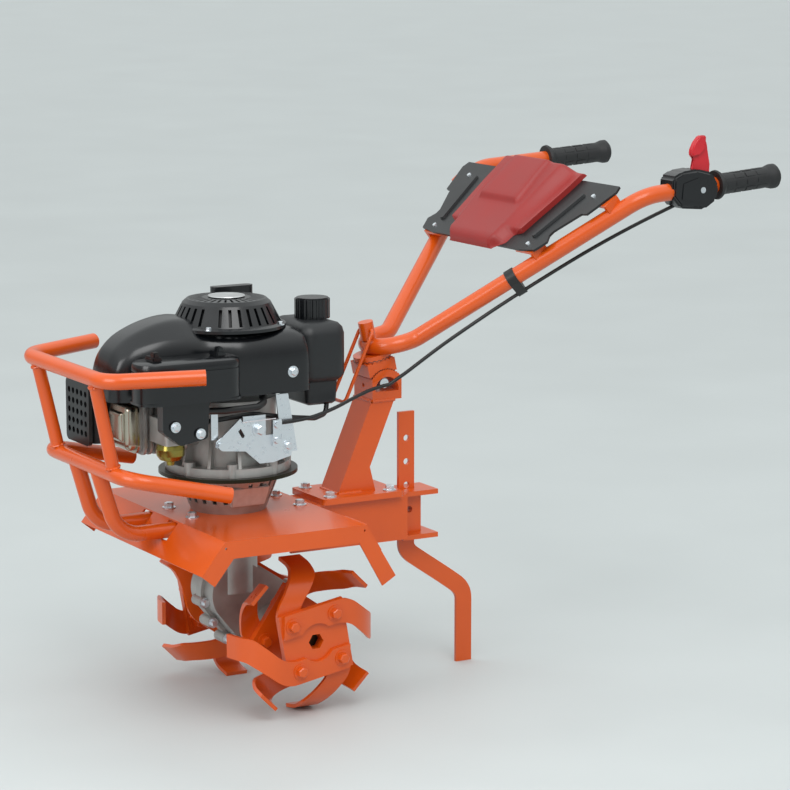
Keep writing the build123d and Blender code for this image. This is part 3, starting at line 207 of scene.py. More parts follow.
def surface(name, light, dark, patch, grain, relief, rough,
            metallic=0.0, ior=1.5, coat=0.0, cells=False):
    """Material with two tones in patches, a fine grain in relief and a roughness that wanders."""
    material = bpy.data.materials.new(name)
    material.use_nodes = True
    tree = material.node_tree
    tree.nodes.clear()
    place = add(tree, "ShaderNodeTexCoord", {}).outputs["Object"]
    kind = "ShaderNodeTexVoronoi" if cells else "ShaderNodeTexNoise"
    cloud = add(tree, kind, {"Vector": place, "Scale": 1 / patch, "Detail": 4.0}).outputs["Color"]
    tone = add(tree, "ShaderNodeValToRGB", {"Fac": cloud})
    tone.color_ramp.elements[0].position = TONE_SPAN[0]
    tone.color_ramp.elements[0].color = colour(dark)
    tone.color_ramp.elements[1].position = TONE_SPAN[1]
    tone.color_ramp.elements[1].color = colour(light)
    gloss = add(tree, "ShaderNodeMapRange", {
        "Value": cloud, "From Min": TONE_SPAN[0], "From Max": TONE_SPAN[1],
        "To Min": rough[0], "To Max": rough[1]})
    dust = add(tree, "ShaderNodeTexNoise", {"Vector": place, "Scale": 1 / grain, "Detail": 2.0})
    bump = add(tree, "ShaderNodeBump", {
        "Height": dust.outputs["Fac"], "Strength": 1.0, "Distance": relief})
    shader = add(tree, "ShaderNodeBsdfPrincipled", {
        "Base Color": tone.outputs["Color"], "Metallic": metallic, "IOR": ior,
        "Roughness": gloss.outputs["Result"], "Coat Weight": coat, "Coat Roughness": 0.08,
        "Normal": bump.outputs["Normal"]})
    add(tree, "ShaderNodeOutputMaterial", {"Surface": shader.outputs["BSDF"]})
    return material


# Glossy orange powder coat with a slight orange peel
orange_paint = surface(
    "orange powder coat", "#D4540A", "#C94D07", 0.12, 0.004, 0.00002, (0.26, 0.34), coat=0.2)
# Sand-cast aluminium, bead blasted
cast_alloy = surface(
    "cast aluminium", "#B4B2AF", "#9A9895", 0.03, 0.0012, 0.00012, (0.38, 0.52), metallic=0.7)
# Oiled dark steel of the flange disc and the hexagon bar
dark_steel = surface(
    "oiled steel", "#38352A", "#2A281F", 0.05, 0.003, 0.00002, (0.30, 0.44), metallic=1.0)
# Bright zinc plate with a faint blue spangle
zinc = surface(
    "zinc plate", "#DDE3E8", "#C4CBD2", 0.006, 0.0015, 0.00001, (0.20, 0.34),
    metallic=1.0, cells=True)
# Nickel-plated pressing of the valve cover
nickel = surface(
    "nickel plate", "#B8B2A4", "#A49D8E", 0.04, 0.002, 0.00002, (0.18, 0.30), metallic=1.0)
# Black powder coat of the muffler and the console plate
black_steel = surface(
    "black powder coat", "#17191B", "#111315", 0.06, 0.0012, 0.00005, (0.36, 0.46))
# Semi-gloss moulded plastic of the engine covers
black_plastic = surface(
    "black moulded plastic", "#101215", "#0B0D10", 0.05, 0.0010, 0.00002, (0.20, 0.28), ior=1.53)
# Coarse-textured blow-moulded tank
tank_plastic = surface(
    "tank plastic", "#14171A", "#0E1013", 0.03, 0.0016, 0.00018, (0.38, 0.50), ior=1.53)
# Red moulded plastic with a fine spark finish
red_plastic = surface(
    "red moulded plastic", "#962320", "#8B1E1B", 0.08, 0.0012, 0.00005, (0.42, 0.52), ior=1.53)
# Glossy signal-red lever
lever_red = surface(
    "red lever plastic", "#C81F2B", "#BC1A26", 0.03, 0.0010, 0.00002, (0.25, 0.34), ior=1.53)
# Soft grip rubber
grip_rubber = surface(
    "grip rubber", "#1D1E20", "#151617", 0.02, 0.0008, 0.00006, (0.52, 0.66), ior=1.52)
# Extruded hose and cable rubber
hose_rubber = surface(
    "hose rubber", "#101112", "#0A0B0C", 0.02, 0.0007, 0.00003, (0.36, 0.48), ior=1.52)
# Yellow chromate on the float bowl
brass = surface(
    "yellow chromate", "#A58F3E", "#7E7B44", 0.02, 0.002, 0.00002, (0.20, 0.32), metallic=1.0)
# Machined face of the clutch pad
machined = surface(
    "machined aluminium", "#CFCDCA", "#BDBBB8", 0.01, 0.0008, 0.00004, (0.34, 0.46), metallic=0.6)
# Plain satin disc in the middle of the starter
silver_disc = surface(
    "satin silver", "#D5D6D6", "#C6C8C9", 0.02, 0.0010, 0.00001, (0.28, 0.36), metallic=0.9)

FINISH = {
    "orange_paint": orange_paint, "cast_alloy": cast_alloy, "dark_steel": dark_steel,
    "zinc_steel": zinc, "nickel_plate": nickel, "black_steel": black_steel,
    "black_plastic": black_plastic, "red_plastic": red_plastic, "grip_rubber": grip_rubber,
    "hose_rubber": hose_rubber, "brass": brass,
}
SPECIAL = {"fuel_tank": tank_plastic, "throttle_lever": lever_red}
for part in frame["record"]["subparts"]:
    node = nodes[part["node"]]
    node.data.materials.clear()
    node.data.materials.append(SPECIAL.get(part["node"], FINISH[part["material_slot"]]))


def piece(name, mesh, body, material):
    """Turns a bmesh into an object that rides on a body."""
    data = bpy.data.meshes.new(name)
    bmesh.ops.recalc_face_normals(mesh, faces=mesh.faces)
    mesh.to_mesh(data)
    mesh.free()
    data.polygons.foreach_set("use_smooth", [True] * len(data.polygons))
    data.set_sharp_from_angle(angle=radians(SHARP_ANGLE))
    data.materials.append(material)
    obj = bpy.data.objects.new(name, data)
    bpy.context.scene.collection.objects.link(obj)
    if body:
        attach(obj, body)
    return obj


def drum(mesh, place, axis, radius, height, sides=24, top=None, turn=0.0):
    """Adds a prism or cone that stands on a place and points along an axis."""
    spin = Vector(axis).to_track_quat("Z", "Y").to_matrix().to_4x4()
    stand = Matrix.Translation((0, 0, height / 2)) @ Matrix.Rotation(turn, 4, "Z")
    bmesh.ops.create_cone(
        mesh, cap_ends=True, segments=sides, radius1=radius, radius2=radius if top is None else top,
        depth=height, matrix=Matrix.Translation(place) @ spin @ stand)


def block(mesh, middle, size):
    """Adds a box of a size around a middle point."""
    scale = Matrix.Diagonal((*size, 1))
    bmesh.ops.create_cube(mesh, size=1, matrix=Matrix.Translation(middle) @ scale)


def slab(mesh, outline, y, depth):
    """Adds a plate with an outline of X and Z points that starts at a side distance."""
    near = [mesh.verts.new((x, y, z)) for x, z in outline]
    far = [mesh.verts.new((x, y + depth, z)) for x, z in outline]
    mesh.faces.new(near)
    mesh.faces.new(far[::-1])
    for k in range(len(outline)):
        mesh.faces.new((near[k - 1], near[k], far[k], far[k - 1]))


def bolt(mesh, place, axis, flats, turn=0.0):
    """Adds a hexagon head on its washer."""
    up = Vector(axis).normalized()
    corner = flats / HEX_RATIO
    drum(mesh, place, up, flats * 0.85, flats * 0.12)
    drum(mesh, Vector(place) + up * flats * 0.12, up, corner, flats * 0.5, 6, turn=turn)
    drum(mesh, Vector(place) + up * flats * 0.62, up, corner, flats * 0.08, 6, flats * 0.48, turn)


def smooth_line(points):
    """Points along the smooth line that a route's points control."""
    curve = bpy.data.curves.new("route", "CURVE")
    curve.dimensions = "3D"
    curve.resolution_u = 8
    spline = curve.splines.new("NURBS")
    spline.points.add(len(points) - 1)
    for spot, point in zip(spline.points, points):
        spot.co = (*point, 1)
    spline.order_u = 3
    spline.use_endpoint_u = True
    holder = bpy.data.objects.new("route", curve)
    mesh = bpy.data.meshes.new_from_object(holder)
    line = [v.co.copy() for v in mesh.vertices]
    bpy.data.objects.remove(holder)
    bpy.data.curves.remove(curve)
    bpy.data.meshes.remove(mesh)
    return line


def tube(mesh, line, radius, sides=12, swell=0.0):
    """Adds a closed tube along a line of points, its radius rippling by a share of itself."""
    rings = []
    side = None
    for k, point in enumerate(line):
        way = (line[min(k + 1, len(line) - 1)] - line[max(k - 1, 0)]).normalized()
        side = way.orthogonal() if side is None else side - way * side.dot(way)
        side.normalize()
        up = way.cross(side)
        r = radius * (1 + swell * sin(2.1 * k))
        rings.append([
            mesh.verts.new(point + side * r * cos(tau * s / sides) + up * r * sin(tau * s / sides))
            for s in range(sides)])
    for a, b in zip(rings, rings[1:]):
        for s in range(sides):
            mesh.faces.new((a[s - 1], a[s], b[s], b[s - 1]))
    mesh.faces.new(rings[0])
    mesh.faces.new(rings[-1][::-1])


def ease(low, high, value):
    """Smooth step from 0 at low to 1 at high."""
    t = min(max((value - low) / (high - low), 0), 1)
    return t * t * (3 - 2 * t)


def moulding(mesh, size, radius, rings, turn):
    """Adds a closed form of rounded rectangles, each at a height and an inset, by a matrix."""
    loops = []
    for height, inset in rings:
        loop = []
        r = max(radius - inset, CORNER_LEAST)
        for k, (sx, sy) in enumerate(((1, 1), (-1, 1), (-1, -1), (1, -1))):
            for step in range(CORNER_STEPS + 1):
                a = tau / 4 * (k + step / CORNER_STEPS)
                spot = Vector((sx * (size[0] / 2 - inset - r) + r * cos(a),
                               sy * (size[1] / 2 - inset - r) + r * sin(a), height))
                loop.append(mesh.verts.new(turn @ spot))
        loops.append(loop)
    for one, two in zip(loops, loops[1:]):
        for k in range(len(one)):
            mesh.faces.new((one[k - 1], one[k], two[k], two[k - 1]))
    mesh.faces.new(loops[0])
    mesh.faces.new(loops[-1][::-1])


def rounding(height, inset, radius, steps):
    """Rings of a quarter round that starts at a height and an inset."""
    angles = [tau / 4 * k / steps for k in range(steps + 1)]
    return [(height + radius * sin(a), inset + radius * (1 - cos(a))) for a in angles]


def flat_plate(outline, holes, thick):
    """Upright plate on the middle plane, with an outline and holes of X and Z points."""
    curve = bpy.data.curves.new("plate", "CURVE")
    curve.dimensions = "2D"
    curve.fill_mode = "BOTH"
    curve.extrude = thick / 2
    for loop in [outline] + holes:
        spline = curve.splines.new("POLY")
        spline.points.add(len(loop) - 1)
        for spot, (x, z) in zip(spline.points, loop):
            spot.co = (x, z, 0, 1)
        spline.use_cyclic_u = True
    holder = bpy.data.objects.new("plate", curve)
    flat = bpy.data.meshes.new_from_object(holder)
    mesh = bmesh.new()
    mesh.from_mesh(flat)
    mesh.transform(Matrix.Rotation(pi / 2, 4, "X"))
    bmesh.ops.remove_doubles(mesh, verts=mesh.verts, dist=1e-6)
    bpy.data.objects.remove(holder)
    bpy.data.curves.remove(curve)
    bpy.data.meshes.remove(flat)
    return mesh


def tine_bolts():
    """Painted bolts that clamp the tines at the corners of the four rotor plates."""
    mesh = bmesh.new()
    for side in (-1, 1):
        for plate_y, turn in ((OUTER_PLATE_Y, PLATE_TURN), (INNER_PLATE_Y, PLATE_TURN + 45)):
            for k in range(4):
                a = radians(turn + 45 + 90 * k)
                reach = TINE_BOLT * 2 ** 0.5
                spot = AXLE + Vector((reach * cos(a), side * plate_y, reach * sin(a)))
                for face in (-1, 1):
                    seat = spot + Vector((0, face * TINE_STACK, 0))
                    bolt(mesh, seat, (0, face, 0), TINE_FLATS, a)
    piece("tine_bolts", mesh, "rotor", orange_paint)


tine_bolts()


def gearbox_bolts():
    """Bolts through the lugs that close the two halves of the gearbox."""
    mesh = bmesh.new()
    for x, z in RIM_LUGS:
        for side in (-1, 1):
            bolt(mesh, AXLE + Vector((x, side * LUG_HALF, z)), (0, side, 0), LUG_FLATS, x)
    piece("gearbox_bolts", mesh, "chassis", zinc)


gearbox_bolts()


def deck_bolts():
    """Zinc bolts on the fender and on the base plate of the post."""
    mesh = bmesh.new()
    for x, height in DECK_BOLTS:
        for side in (-1, 1):
            bolt(mesh, (AXLE.x + x, side * DECK_BOLT_Y, height), (0, 0, 1), DECK_FLATS, x)
    piece("deck_bolts", mesh, "chassis", zinc)


deck_bolts()


def engine_screws():
    """Bright screws of the intake body, the shroud and the control plate."""
    mesh = bmesh.new()
    for x, z in ((0.216, 0.482), (0.173, 0.468)):
        bolt(mesh, (AXLE.x + x, INTAKE_FACE, z), (0, 1, 0), 0.010, x)
    bolt(mesh, (AXLE.x - 0.011, 0.092, 0.545), (0, 1, 0), 0.011)
    bolt(mesh, (AXLE.x - 0.011, -0.092, 0.545), (0, -1, 0), 0.011)
    bolt(mesh, (AXLE.x + 0.056, CONTROL_FACE, 0.459), (0, 1, 0), 0.014)
    for z in (0.440, 0.465):
        drum(mesh, (AXLE.x + 0.027, CONTROL_FACE + 0.006, z), (0, 1, 0), 0.006, 0.004, 20, 0.0045)
    bolt(mesh, (AXLE.x + 0.004, 0.100, 0.428), (0, 1, 0), 0.010)
    drum(mesh, (AXLE.x + 0.124, CONTROL_FACE, 0.439), (0, 1, 0), 0.006, 0.006)
    piece("engine_screws", mesh, "chassis", zinc)


engine_screws()


def governor_lever():
    """Zinc lever on the control plate with its link wire and its strap to the intake."""
    mesh = bmesh.new()
    x = AXLE.x
    lever = ((0.131, 0.446), (0.119, 0.433), (0.084, 0.470), (0.090, 0.480))
    slab(mesh, [(x + a, z) for a, z in lever], CONTROL_FACE, LEVER_T)
    wire = ((0.088, 0.004, 0.474), (0.030, 0.008, 0.476))
    tube(mesh, [Vector((x + a, CONTROL_FACE + y, z)) for a, y, z in wire], WIRE_R, 8)
    strap = ((0.137, 0.500), (0.125, 0.500), (0.125, 0.448), (0.137, 0.448))
    slab(mesh, [(x + a, z) for a, z in strap], STRAP_Y, LEVER_T)
    piece("governor_lever", mesh, "chassis", zinc)


governor_lever()


def weld_beads():
    """Painted weld beads at the foot of the post and under its head."""
    mesh = bmesh.new()
    for (rear, front, half), z in ((POST_FOOT, BASE_TOP), (POST_TOP, HEAD_BASE - 0.001)):
        for side in (-1, 1):
            line = [Vector((rear + (front - rear) * k / WELD_STEPS, side * half, z))
                    for k in range(WELD_STEPS + 1)]
            tube(mesh, line, WELD_R, WELD_SIDES, WELD_SWELL)
        line = [Vector((front, half * (k / WELD_HALF_STEPS - 1), z))
                for k in range(2 * WELD_HALF_STEPS + 1)]
        tube(mesh, line, WELD_R, WELD_SIDES, WELD_SWELL)
    piece("post_welds", mesh, "chassis", orange_paint)


weld_beads()


def bumper_welds():
    """Painted weld rings where the uprights and the J tubes meet the rails."""
    mesh = bmesh.new()
    low = Vector((AXLE.x + 0.309, 0.106, 0.412))
    high = Vector((AXLE.x + 0.3425, 0.112, 0.566))
    way = (high - low).normalized()
    for foot, radius, axis in (
        (low + way * 0.0125, 0.0105, way), (high - way * 0.0125, 0.0105, way),
        (Vector((AXLE.x + 0.303, 0.0414, 0.400)), 0.0125, Vector((-0.28, 0.01, -0.96))),
    ):
        side = axis.orthogonal().normalized()
        up = axis.cross(side).normalized()
        ring = [foot + (side * cos(tau * k / RING_STEPS) + up * sin(tau * k / RING_STEPS)) * radius
                for k in range(RING_STEPS + 1)]
        tube(mesh, ring, RING_WELD_R, WELD_SIDES, WELD_SWELL)
        tube(mesh, [Vector((p.x, -p.y, p.z)) for p in ring], RING_WELD_R, WELD_SIDES, WELD_SWELL)
    piece("bumper_welds", mesh, "chassis", orange_paint)


bumper_welds()


def tooth_lines():
    """Thin dark lines of painted shade along the two toothed joints of the head, where the gaps
    between the teeth fall in shade, so that their teeth stand out.
    """
    tilt = radians(COLUMN_TILT)
    for name, body in (("sector_painted_shade", "saddle"), ("face_tooth_painted_shade", "handlebar")):
        mesh = bmesh.new()
        if body == "saddle":
            for side in (-SADDLE_SIDE, SADDLE_SIDE):
                line = []
                for k in range(-SECTOR_STEPS, SECTOR_STEPS + 1):
                    a = tilt + radians(SECTOR_STEP * k)
                    r = SECTOR_R - (SECTOR_DEPTH if k % 2 else 0)
                    line.append(PIVOT + Vector((r * sin(a), side, r * cos(a))))
                tube(mesh, line, TOOTH_SHADE_R, TOOTH_SHADE_SIDES)
        else:
            up = Vector((sin(tilt), 0, cos(tilt)))
            ahead = Vector((cos(tilt), 0, -sin(tilt)))
            line = []
            for k in range(2 * YAW_TEETH + 1):
                a = tau * k / (2 * YAW_TEETH)
                spot = PIVOT + up * (YAW_PLANE + (YAW_TOOTH if k % 2 else 0))
                line.append(spot + (ahead * cos(a) + Vector((0, sin(a), 0))) * YAW_PLATE_R)
            tube(mesh, line, TOOTH_SHADE_R, TOOTH_SHADE_SIDES)
        # Each line is a dark tube of painted shade that stands for the shadow in the gap between
        # the teeth.
        piece(name, mesh, body, hose_rubber)


tooth_lines()


def clutch_pad():
    """Flat machined pad on the left of the clutch cone."""
    mesh = bmesh.new()
    corners = (
        (0.092, 0.079, 0.361), (0.024, 0.079, 0.361), (0.029, 0.069, 0.329), (0.088, 0.069, 0.329))
    outer = [mesh.verts.new((AXLE.x + x, y, z)) for x, y, z in corners]
    inner = [mesh.verts.new((AXLE.x + x, y - PAD_T, z)) for x, y, z in corners]
    mesh.faces.new(outer)
    mesh.faces.new(inner[::-1])
    for k in range(4):
        mesh.faces.new((outer[k - 1], outer[k], inner[k], inner[k - 1]))
    bmesh.ops.bevel(mesh, geom=mesh.edges, offset=0.0015, segments=2, affect="EDGES")
    piece("clutch_pad", mesh, "chassis", machined)


clutch_pad()


def smooth_shroud():
    """Moulded shroud with rounded shoulders, in place of its plain solid."""
    left = smooth_line([(AXLE.x + x, y, wall) for x, y, _, wall, _ in SHROUD_STATIONS])
    right = smooth_line([(AXLE.x + x, y, spine) for x, _, y, _, spine in SHROUD_STATIONS])
    mesh = bmesh.new()
    arches = []
    for a, b in zip(left, right):
        middle = (a.y + b.y) / 2
        half = (a.y - b.y) / 2
        arch = []
        for k in range(SHROUD_STEPS + 1):
            t = pi * k / SHROUD_STEPS
            wide = abs(cos(t)) ** SHROUD_ROUND * (1 if cos(t) > 0 else -1)
            wall = (a.z - SHROUD_FOOT) * max(sin(t), 0) ** SHROUD_ROUND
            rise = wall + (b.z - a.z) * ease(*SPINE_FADE, abs(wide))
            arch.append(mesh.verts.new((a.x, middle + half * wide, SHROUD_FOOT + rise)))
        arches.append(arch)
    for one, two in zip(arches, arches[1:]):
        for k in range(SHROUD_STEPS):
            mesh.faces.new((one[k], one[k + 1], two[k + 1], two[k]))
        mesh.faces.new((one[0], two[0], two[-1], one[-1]))
    mesh.faces.new(arches[0])
    mesh.faces.new(arches[-1][::-1])
    obj = piece("smooth_shroud", mesh, "chassis", black_plastic)
    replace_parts(obj, "blower_shroud")


smooth_shroud()


def console_point(run, side, height):
    """Point on the console: along the arms, across them, and above them."""
    flat = Vector((ARM_END.x - ARM_FOOT.x, 0, ARM_END.z - ARM_FOOT.z)).normalized()
    up = Vector((flat.z, 0, -flat.x))
    return Vector((ARM_FOOT.x, side, ARM_FOOT.z)) + flat * run + up * height


# Moulded cover along the arms: its start near the head, where the rounding of that end is full,
# where ledge and panel rise, where the panel ends and where the cover ends
COVER_START = 0.193
NOSE_FULL = 0.214
LEDGE_RISE = (0.230, 0.240)
PANEL_RISE = (0.276, 0.288)
TAIL_START = 0.368
PANEL_END = 0.372
COVER_END = 0.384
LEDGE_H = 0.010
PANEL_H = 0.0065
PANEL_SOFT = 0.004
# Rows of faces between these places
COVER_ROWS = (
    (COVER_START, NOSE_FULL, 10), (NOSE_FULL, LEDGE_RISE[0], 3), (*LEDGE_RISE, 5),
    (LEDGE_RISE[1], PANEL_RISE[0], 6), (*PANEL_RISE, 6), (PANEL_RISE[1], TAIL_START, 10),
    (TAIL_START, COVER_END, 10))


def console_cover():
    """Moulded red cover with a raised panel and side ledges, in place of its plain solid."""
    runs = [low + (high - low) * k / count for low, high, count in COVER_ROWS for k in range(count)]
    mesh = bmesh.new()
    grid = []
    for run in runs + [COVER_ROWS[-1][1]]:
        ledge = ease(*LEDGE_RISE, run)
        shelf = LEDGE_H * ledge
        nose = ease(COVER_START, NOSE_FULL, run)
        growth = ease(0.2, 0.38, run)
        shoulder = 0.058 + 0.008 * nose + 0.018 * growth
        foot = shoulder + 0.008 + 0.016 * nose
        edge = foot + 0.002 + 0.016 * ledge
        panel = 0.058 - 0.006 * ease(0.28, 0.38, run)
        inner, outer = panel - PANEL_SOFT, panel + PANEL_SOFT
        crown = 0.018 + 0.012 * growth
        step = PANEL_H * ease(*PANEL_RISE, run) * ease(COVER_END, PANEL_END, run)
        ends = min((run - COVER_START) / 0.021, 1), min((COVER_END - run) / 0.012, 1)
        full = (1 - (1 - ends[0]) ** 2) ** 0.5 * (1 - (1 - ends[1]) ** 2) ** 0.5
        half = []
        for low, high, count in ((0, inner, 4), (inner, outer, 5), (outer, shoulder, 3),
                                 (shoulder, foot, 10), (foot, edge, 4)):
            for k in range(count):
                side = low + (high - low) * k / count
                fall = ease(foot, shoulder, side)
                height = shelf + (crown - shelf) * fall + step * ease(outer, inner, side)
                half.append((side, height * full))
        half += [(edge - 0.001, shelf * full), (edge, 0.009 * ledge * full), (edge, 0)]
        line = [(-side, height) for side, height in half[:0:-1]] + half
        grid.append([
            mesh.verts.new(console_point(run, side, CONSOLE_TOP + height))
            for side, height in line])
    for one, two in zip(grid, grid[1:]):
        for a, b, c, d in zip(one, one[1:], two[1:], two):
            mesh.faces.new((a, b, c, d))
    bmesh.ops.remove_doubles(mesh, verts=mesh.verts, dist=1e-6)
    obj = piece("console_cover_moulded", mesh, "handlebar", red_plastic)
    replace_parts(obj, "console_cover")


console_cover()


def console_bolts():
    """Low round bolts that hold the console plate to its tabs."""
    mesh = bmesh.new()
    up = console_point(0, 0, 1) - console_point(0, 0, 0)
    for run, side in ((0.219, 0.150), (0.342, 0.196)):
        for face in (-1, 1):
            drum(mesh, console_point(run, face * side, CONSOLE_TOP), up, 0.0042, 0.0025, 20, 0.0036)
    piece("console_bolts", mesh, "handlebar", zinc)


console_bolts()


def throttle_paddle():
    """Red folded thumb lever, in place of its plain solid."""
    mesh = bmesh.new()
    x = AXLE.x
    body = (
        (-0.660, 0.871), (-0.659, 0.880), (-0.665, 0.893), (-0.675, 0.904), (-0.686, 0.9045),
        (-0.692, 0.890), (-0.697, 0.857), (-0.698, 0.838), (-0.659, 0.838), (-0.669, 0.867))
    slab(mesh, [(x + a, z) for a, z in body], 0.250, 0.008)
    paddle = (
        (-0.658, 0.880), (-0.664, 0.894), (-0.675, 0.905), (-0.686, 0.9045), (-0.685, 0.884),
        (-0.674, 0.873), (-0.660, 0.871))
    slab(mesh, [(x + a, z) for a, z in paddle], 0.256, 0.008)
    bmesh.ops.bevel(mesh, geom=mesh.edges, offset=0.0018, segments=3, affect="EDGES")
    obj = piece("throttle_paddle", mesh, "handlebar", lever_red)
    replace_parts(obj, "throttle_lever")


throttle_paddle()


def throttle_face():
    """Case of the throttle box in place of its plain solid, with its raised face and its screw."""
    mesh = bmesh.new()
    x = AXLE.x
    body = (
        (-0.611, 0.808), (-0.612, 0.840), (-0.630, 0.849), (-0.661, 0.852), (-0.690, 0.845),
        (-0.704, 0.822), (-0.700, 0.800), (-0.676, 0.785), (-0.628, 0.789))
    slab(mesh, [(x + a, z) for a, z in body], 0.236, 0.0435)
    bmesh.ops.bevel(mesh, geom=mesh.edges, offset=0.005, segments=3, affect="EDGES")
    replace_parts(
        piece("throttle_case", mesh, "handlebar", black_plastic), "throttle_box")
    mesh = bmesh.new()
    face = (
        (-0.625, 0.802), (-0.628, 0.832), (-0.660, 0.841), (-0.684, 0.836), (-0.695, 0.820),
        (-0.690, 0.803), (-0.674, 0.793))
    slab(mesh, [(x + a, z) for a, z in face], 0.2745, 0.0065)
    bmesh.ops.bevel(mesh, geom=mesh.edges, offset=0.003, segments=3, affect="EDGES")
    piece("throttle_face", mesh, "handlebar", black_plastic)
    mesh = bmesh.new()
    drum(mesh, (x - 0.669, 0.2807, 0.8175), (0, 1, 0), 0.0050, 0.0008, 24)
    piece("throttle_screw", mesh, "handlebar", zinc)


throttle_face()


def grip_pads():
    """Rows of raised pads moulded round both grips."""
    mesh = bmesh.new()
    rows = 8
    way = (BAR_TIP - ARM_END).normalized()
    side = way.cross(Vector((0, 0, 1))).normalized()
    up = side.cross(way)
    for face in (-1, 1):
        for k in range(4):
            for row in range(rows):
                pad = []
                for start in PAD_REACH:
                    reach = start + PAD_PITCH * k
                    for step in range(5):
                        a = tau / rows * (row + (step - 2) * 0.16)
                        for r in (GRIP_R - 0.001, GRIP_R + 0.0011):
                            spot = BAR_TIP - way * reach + (side * cos(a) + up * sin(a)) * r
                            pad.append(mesh.verts.new((spot.x, face * spot.y, spot.z)))
                bmesh.ops.convex_hull(mesh, input=pad)
    piece("grip_pads", mesh, "handlebar", grip_rubber)


grip_pads()


def stake_bar():
    """Drag stake with its long smooth dogleg, in place of its plain solid."""
    line = smooth_line([(x, 0, z) for x, z in STAKE_LINE])
    edges = [[], []]
    for k, point in enumerate(line):
        way = (line[min(k + 1, len(line) - 1)] - line[max(k - 1, 0)]).normalized()
        for edge, side in zip(edges, (-1, 1)):
            edge.append((point.x - side * way.z * STAKE_HALF, point.z + side * way.x * STAKE_HALF))
    holes = [[(STAKE_LINE[0][0] + STAKE_HOLE_R * cos(tau * k / HOLE_SIDES),
               z + STAKE_HOLE_R * sin(tau * k / HOLE_SIDES)) for k in range(HOLE_SIDES)]
             for z in STAKE_HOLES]
    mesh = flat_plate(edges[0] + edges[1][::-1], holes, STAKE_T)
    obj = piece("stake_bar", mesh, "stake", orange_paint)
    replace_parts(obj, "drag_stake")


stake_bar()


def engine_mouldings():
    """Air cleaner lid, fuel tank and valve cover with full roundings, in place of their solids."""
    for name, node, box, radius, rings, material, slot in (
        ("air_cleaner_lid", "air_cleaner_cover", LID_BOX, LID_R, LID_RINGS,
         black_plastic, "black_plastic"),
        ("fuel_tank_moulded", "fuel_tank", TANK_BOX, TANK_R, TANK_RINGS,
         tank_plastic, "black_plastic"),
    ):
        low, high = Vector(box[0]), Vector(box[1])
        mesh = bmesh.new()
        place = Matrix.Translation(((low.x + high.x) / 2, (low.y + high.y) / 2, low.z))
        moulding(mesh, high - low, radius, rings, place)
        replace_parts(piece(name, mesh, "chassis", material), node)
    low, high = Vector(VALVE_BOX[0]), Vector(VALVE_BOX[1])
    across = Matrix(((0, 0, 1, low.x), (1, 0, 0, 0), (0, 1, 0, (low.z + high.z) / 2), (0, 0, 0, 1)))
    mesh = bmesh.new()
    dome = rounding(0.011, 0.005, 0.008, 6)
    crown = rounding(0.019, 0.018, 0.006, 4)
    size = (high.y - low.y, high.z - low.z)
    moulding(mesh, size, VALVE_R, VALVE_RIM + dome + crown, across)
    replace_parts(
        piece("valve_cover_moulded", mesh, "chassis", nickel), "valve_cover")


engine_mouldings()


def starter_core():
    """Dark drum behind the slots of the starter."""
    mesh = bmesh.new()
    drum(mesh, (ENGINE_X, 0, SHROUD_TOP + 0.001), (0, 0, 1), 0.074, 0.035, 48, 0.060)
    piece("starter_core", mesh, "chassis", hose_rubber)


starter_core()


def starter_screws():
    """Bright screws in the feet of the recoil starter."""
    mesh = bmesh.new()
    for k in range(4):
        a = radians(45 + 90 * k)
        spot = (ENGINE_X + RECOIL_FOOT_R * cos(a), RECOIL_FOOT_R * sin(a), SHROUD_TOP + 0.005)
        bolt(mesh, spot, (0, 0, 1), 0.008, a)
    piece("starter_screws", mesh, "chassis", zinc)


starter_screws()


def air_cleaner_clips():
    """Two black clips that hold the lid of the air cleaner."""
    mesh = bmesh.new()
    for x in (0.240, 0.130):
        block(mesh, (AXLE.x + x, 0.107, AIR_TOP + 0.004), (0.016, 0.030, 0.008))
        block(mesh, (AXLE.x + x, 0.112, AIR_TOP + 0.010), (0.010, 0.014, 0.010))
    bmesh.ops.bevel(mesh, geom=mesh.edges, offset=0.0015, segments=2, affect="EDGES")
    piece("air_cleaner_clips", mesh, "chassis", black_plastic)


air_cleaner_clips()


def starter_disc():
    """Plain satin disc in the middle of the starter's cover."""
    mesh = bmesh.new()
    drum(mesh, (ENGINE_X, 0, SHROUD_TOP + 0.049), (0, 0, 1), 0.030, 0.0012, 48, 0.0292)
    piece("starter_disc", mesh, "chassis", silver_disc)


starter_disc()


def throttle_cable():
    """Black cable in two lengths, parted beside the head of the handle."""
    for name, points, pair in (
        ("throttle_cable_engine", ENGINE_ROUTE, ("chassis", "saddle")),
        ("throttle_cable_handle", HANDLE_ROUTE, ("saddle", "handlebar")),
    ):
        mesh = bmesh.new()
        tube(mesh, smooth_line(points), CABLE_R)
        obj = piece(name + "_smooth", mesh, None, hose_rubber)
        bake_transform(obj)
        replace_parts(obj, name)


throttle_cable()
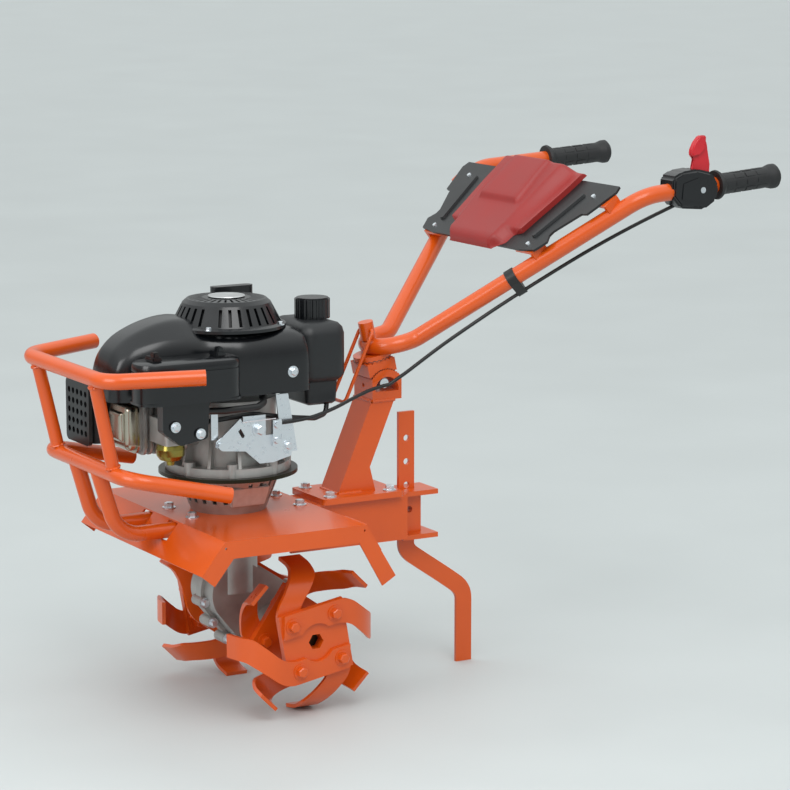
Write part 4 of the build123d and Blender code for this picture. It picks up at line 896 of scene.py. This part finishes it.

# Pale floor
pale = surface("pale floor", "#BFC4C4", "#B9BEBE", 0.4, 0.02, 0.0002, (0.55, 0.7))
mesh = bmesh.new()
bmesh.ops.create_grid(mesh, x_segments=1, y_segments=1, size=FLOOR_HALF)
floor_mesh = bpy.data.meshes.new("floor")
mesh.to_mesh(floor_mesh)
mesh.free()
floor_mesh.materials.append(pale)
floor = bpy.data.objects.new("floor", floor_mesh)
bpy.context.scene.collection.objects.link(floor)

# Camera at the photograph's angle
turn = radians(CAMERA_TURN)
rise = radians(CAMERA_RISE)
back = Vector((sin(turn) * cos(rise), cos(turn) * cos(rise), sin(rise)))
lens = bpy.data.cameras.new("camera")
lens.lens = LENS_MM
lens.sensor_width = SENSOR_MM
lens.clip_end = 100
camera = bpy.data.objects.new("camera", lens)
camera.location = CAMERA_AIM + back * CAMERA_AWAY
camera.rotation_euler = back.to_track_quat("Z", "Y").to_euler()
bpy.context.scene.collection.objects.link(camera)
bpy.context.scene.camera = camera

# Soft studio light: a bright dome, a large key from the left front and a weaker fill
world = bpy.data.worlds.new("studio")
bpy.context.scene.world = world
world.use_nodes = True
sky = world.node_tree
ray = add(sky, "ShaderNodeTexCoord", {}).outputs["Generated"]
height = add(sky, "ShaderNodeSeparateXYZ", {"Vector": ray}).outputs["Z"]
glow = add(sky, "ShaderNodeMapRange", {
    "Value": height, "From Min": 0.05, "From Max": 0.75, "To Min": 0.42, "To Max": 1.45})
shine = add(sky, "ShaderNodeBackground", {
    "Color": colour("#EDF1F1"), "Strength": glow.outputs["Result"]})
sky.links.new(shine.outputs["Background"], sky.nodes["World Output"].inputs["Surface"])


def softbox(name, place, aim, size, watts):
    """Adds a square area light that points at a place."""
    lamp = bpy.data.lights.new(name, "AREA")
    lamp.size = size
    lamp.energy = watts
    obj = bpy.data.objects.new(name, lamp)
    obj.location = place
    obj.rotation_euler = (Vector(place) - Vector(aim)).to_track_quat("Z", "Y").to_euler()
    bpy.context.scene.collection.objects.link(obj)


softbox("key", (0.8, 2.4, 3.0), LIGHT_AIM, 2.0, 46)
softbox("fill", (3.0, 0.9, 1.6), LIGHT_AIM, 1.6, 34)
bpy.context.scene.view_settings.view_transform = "Standard"
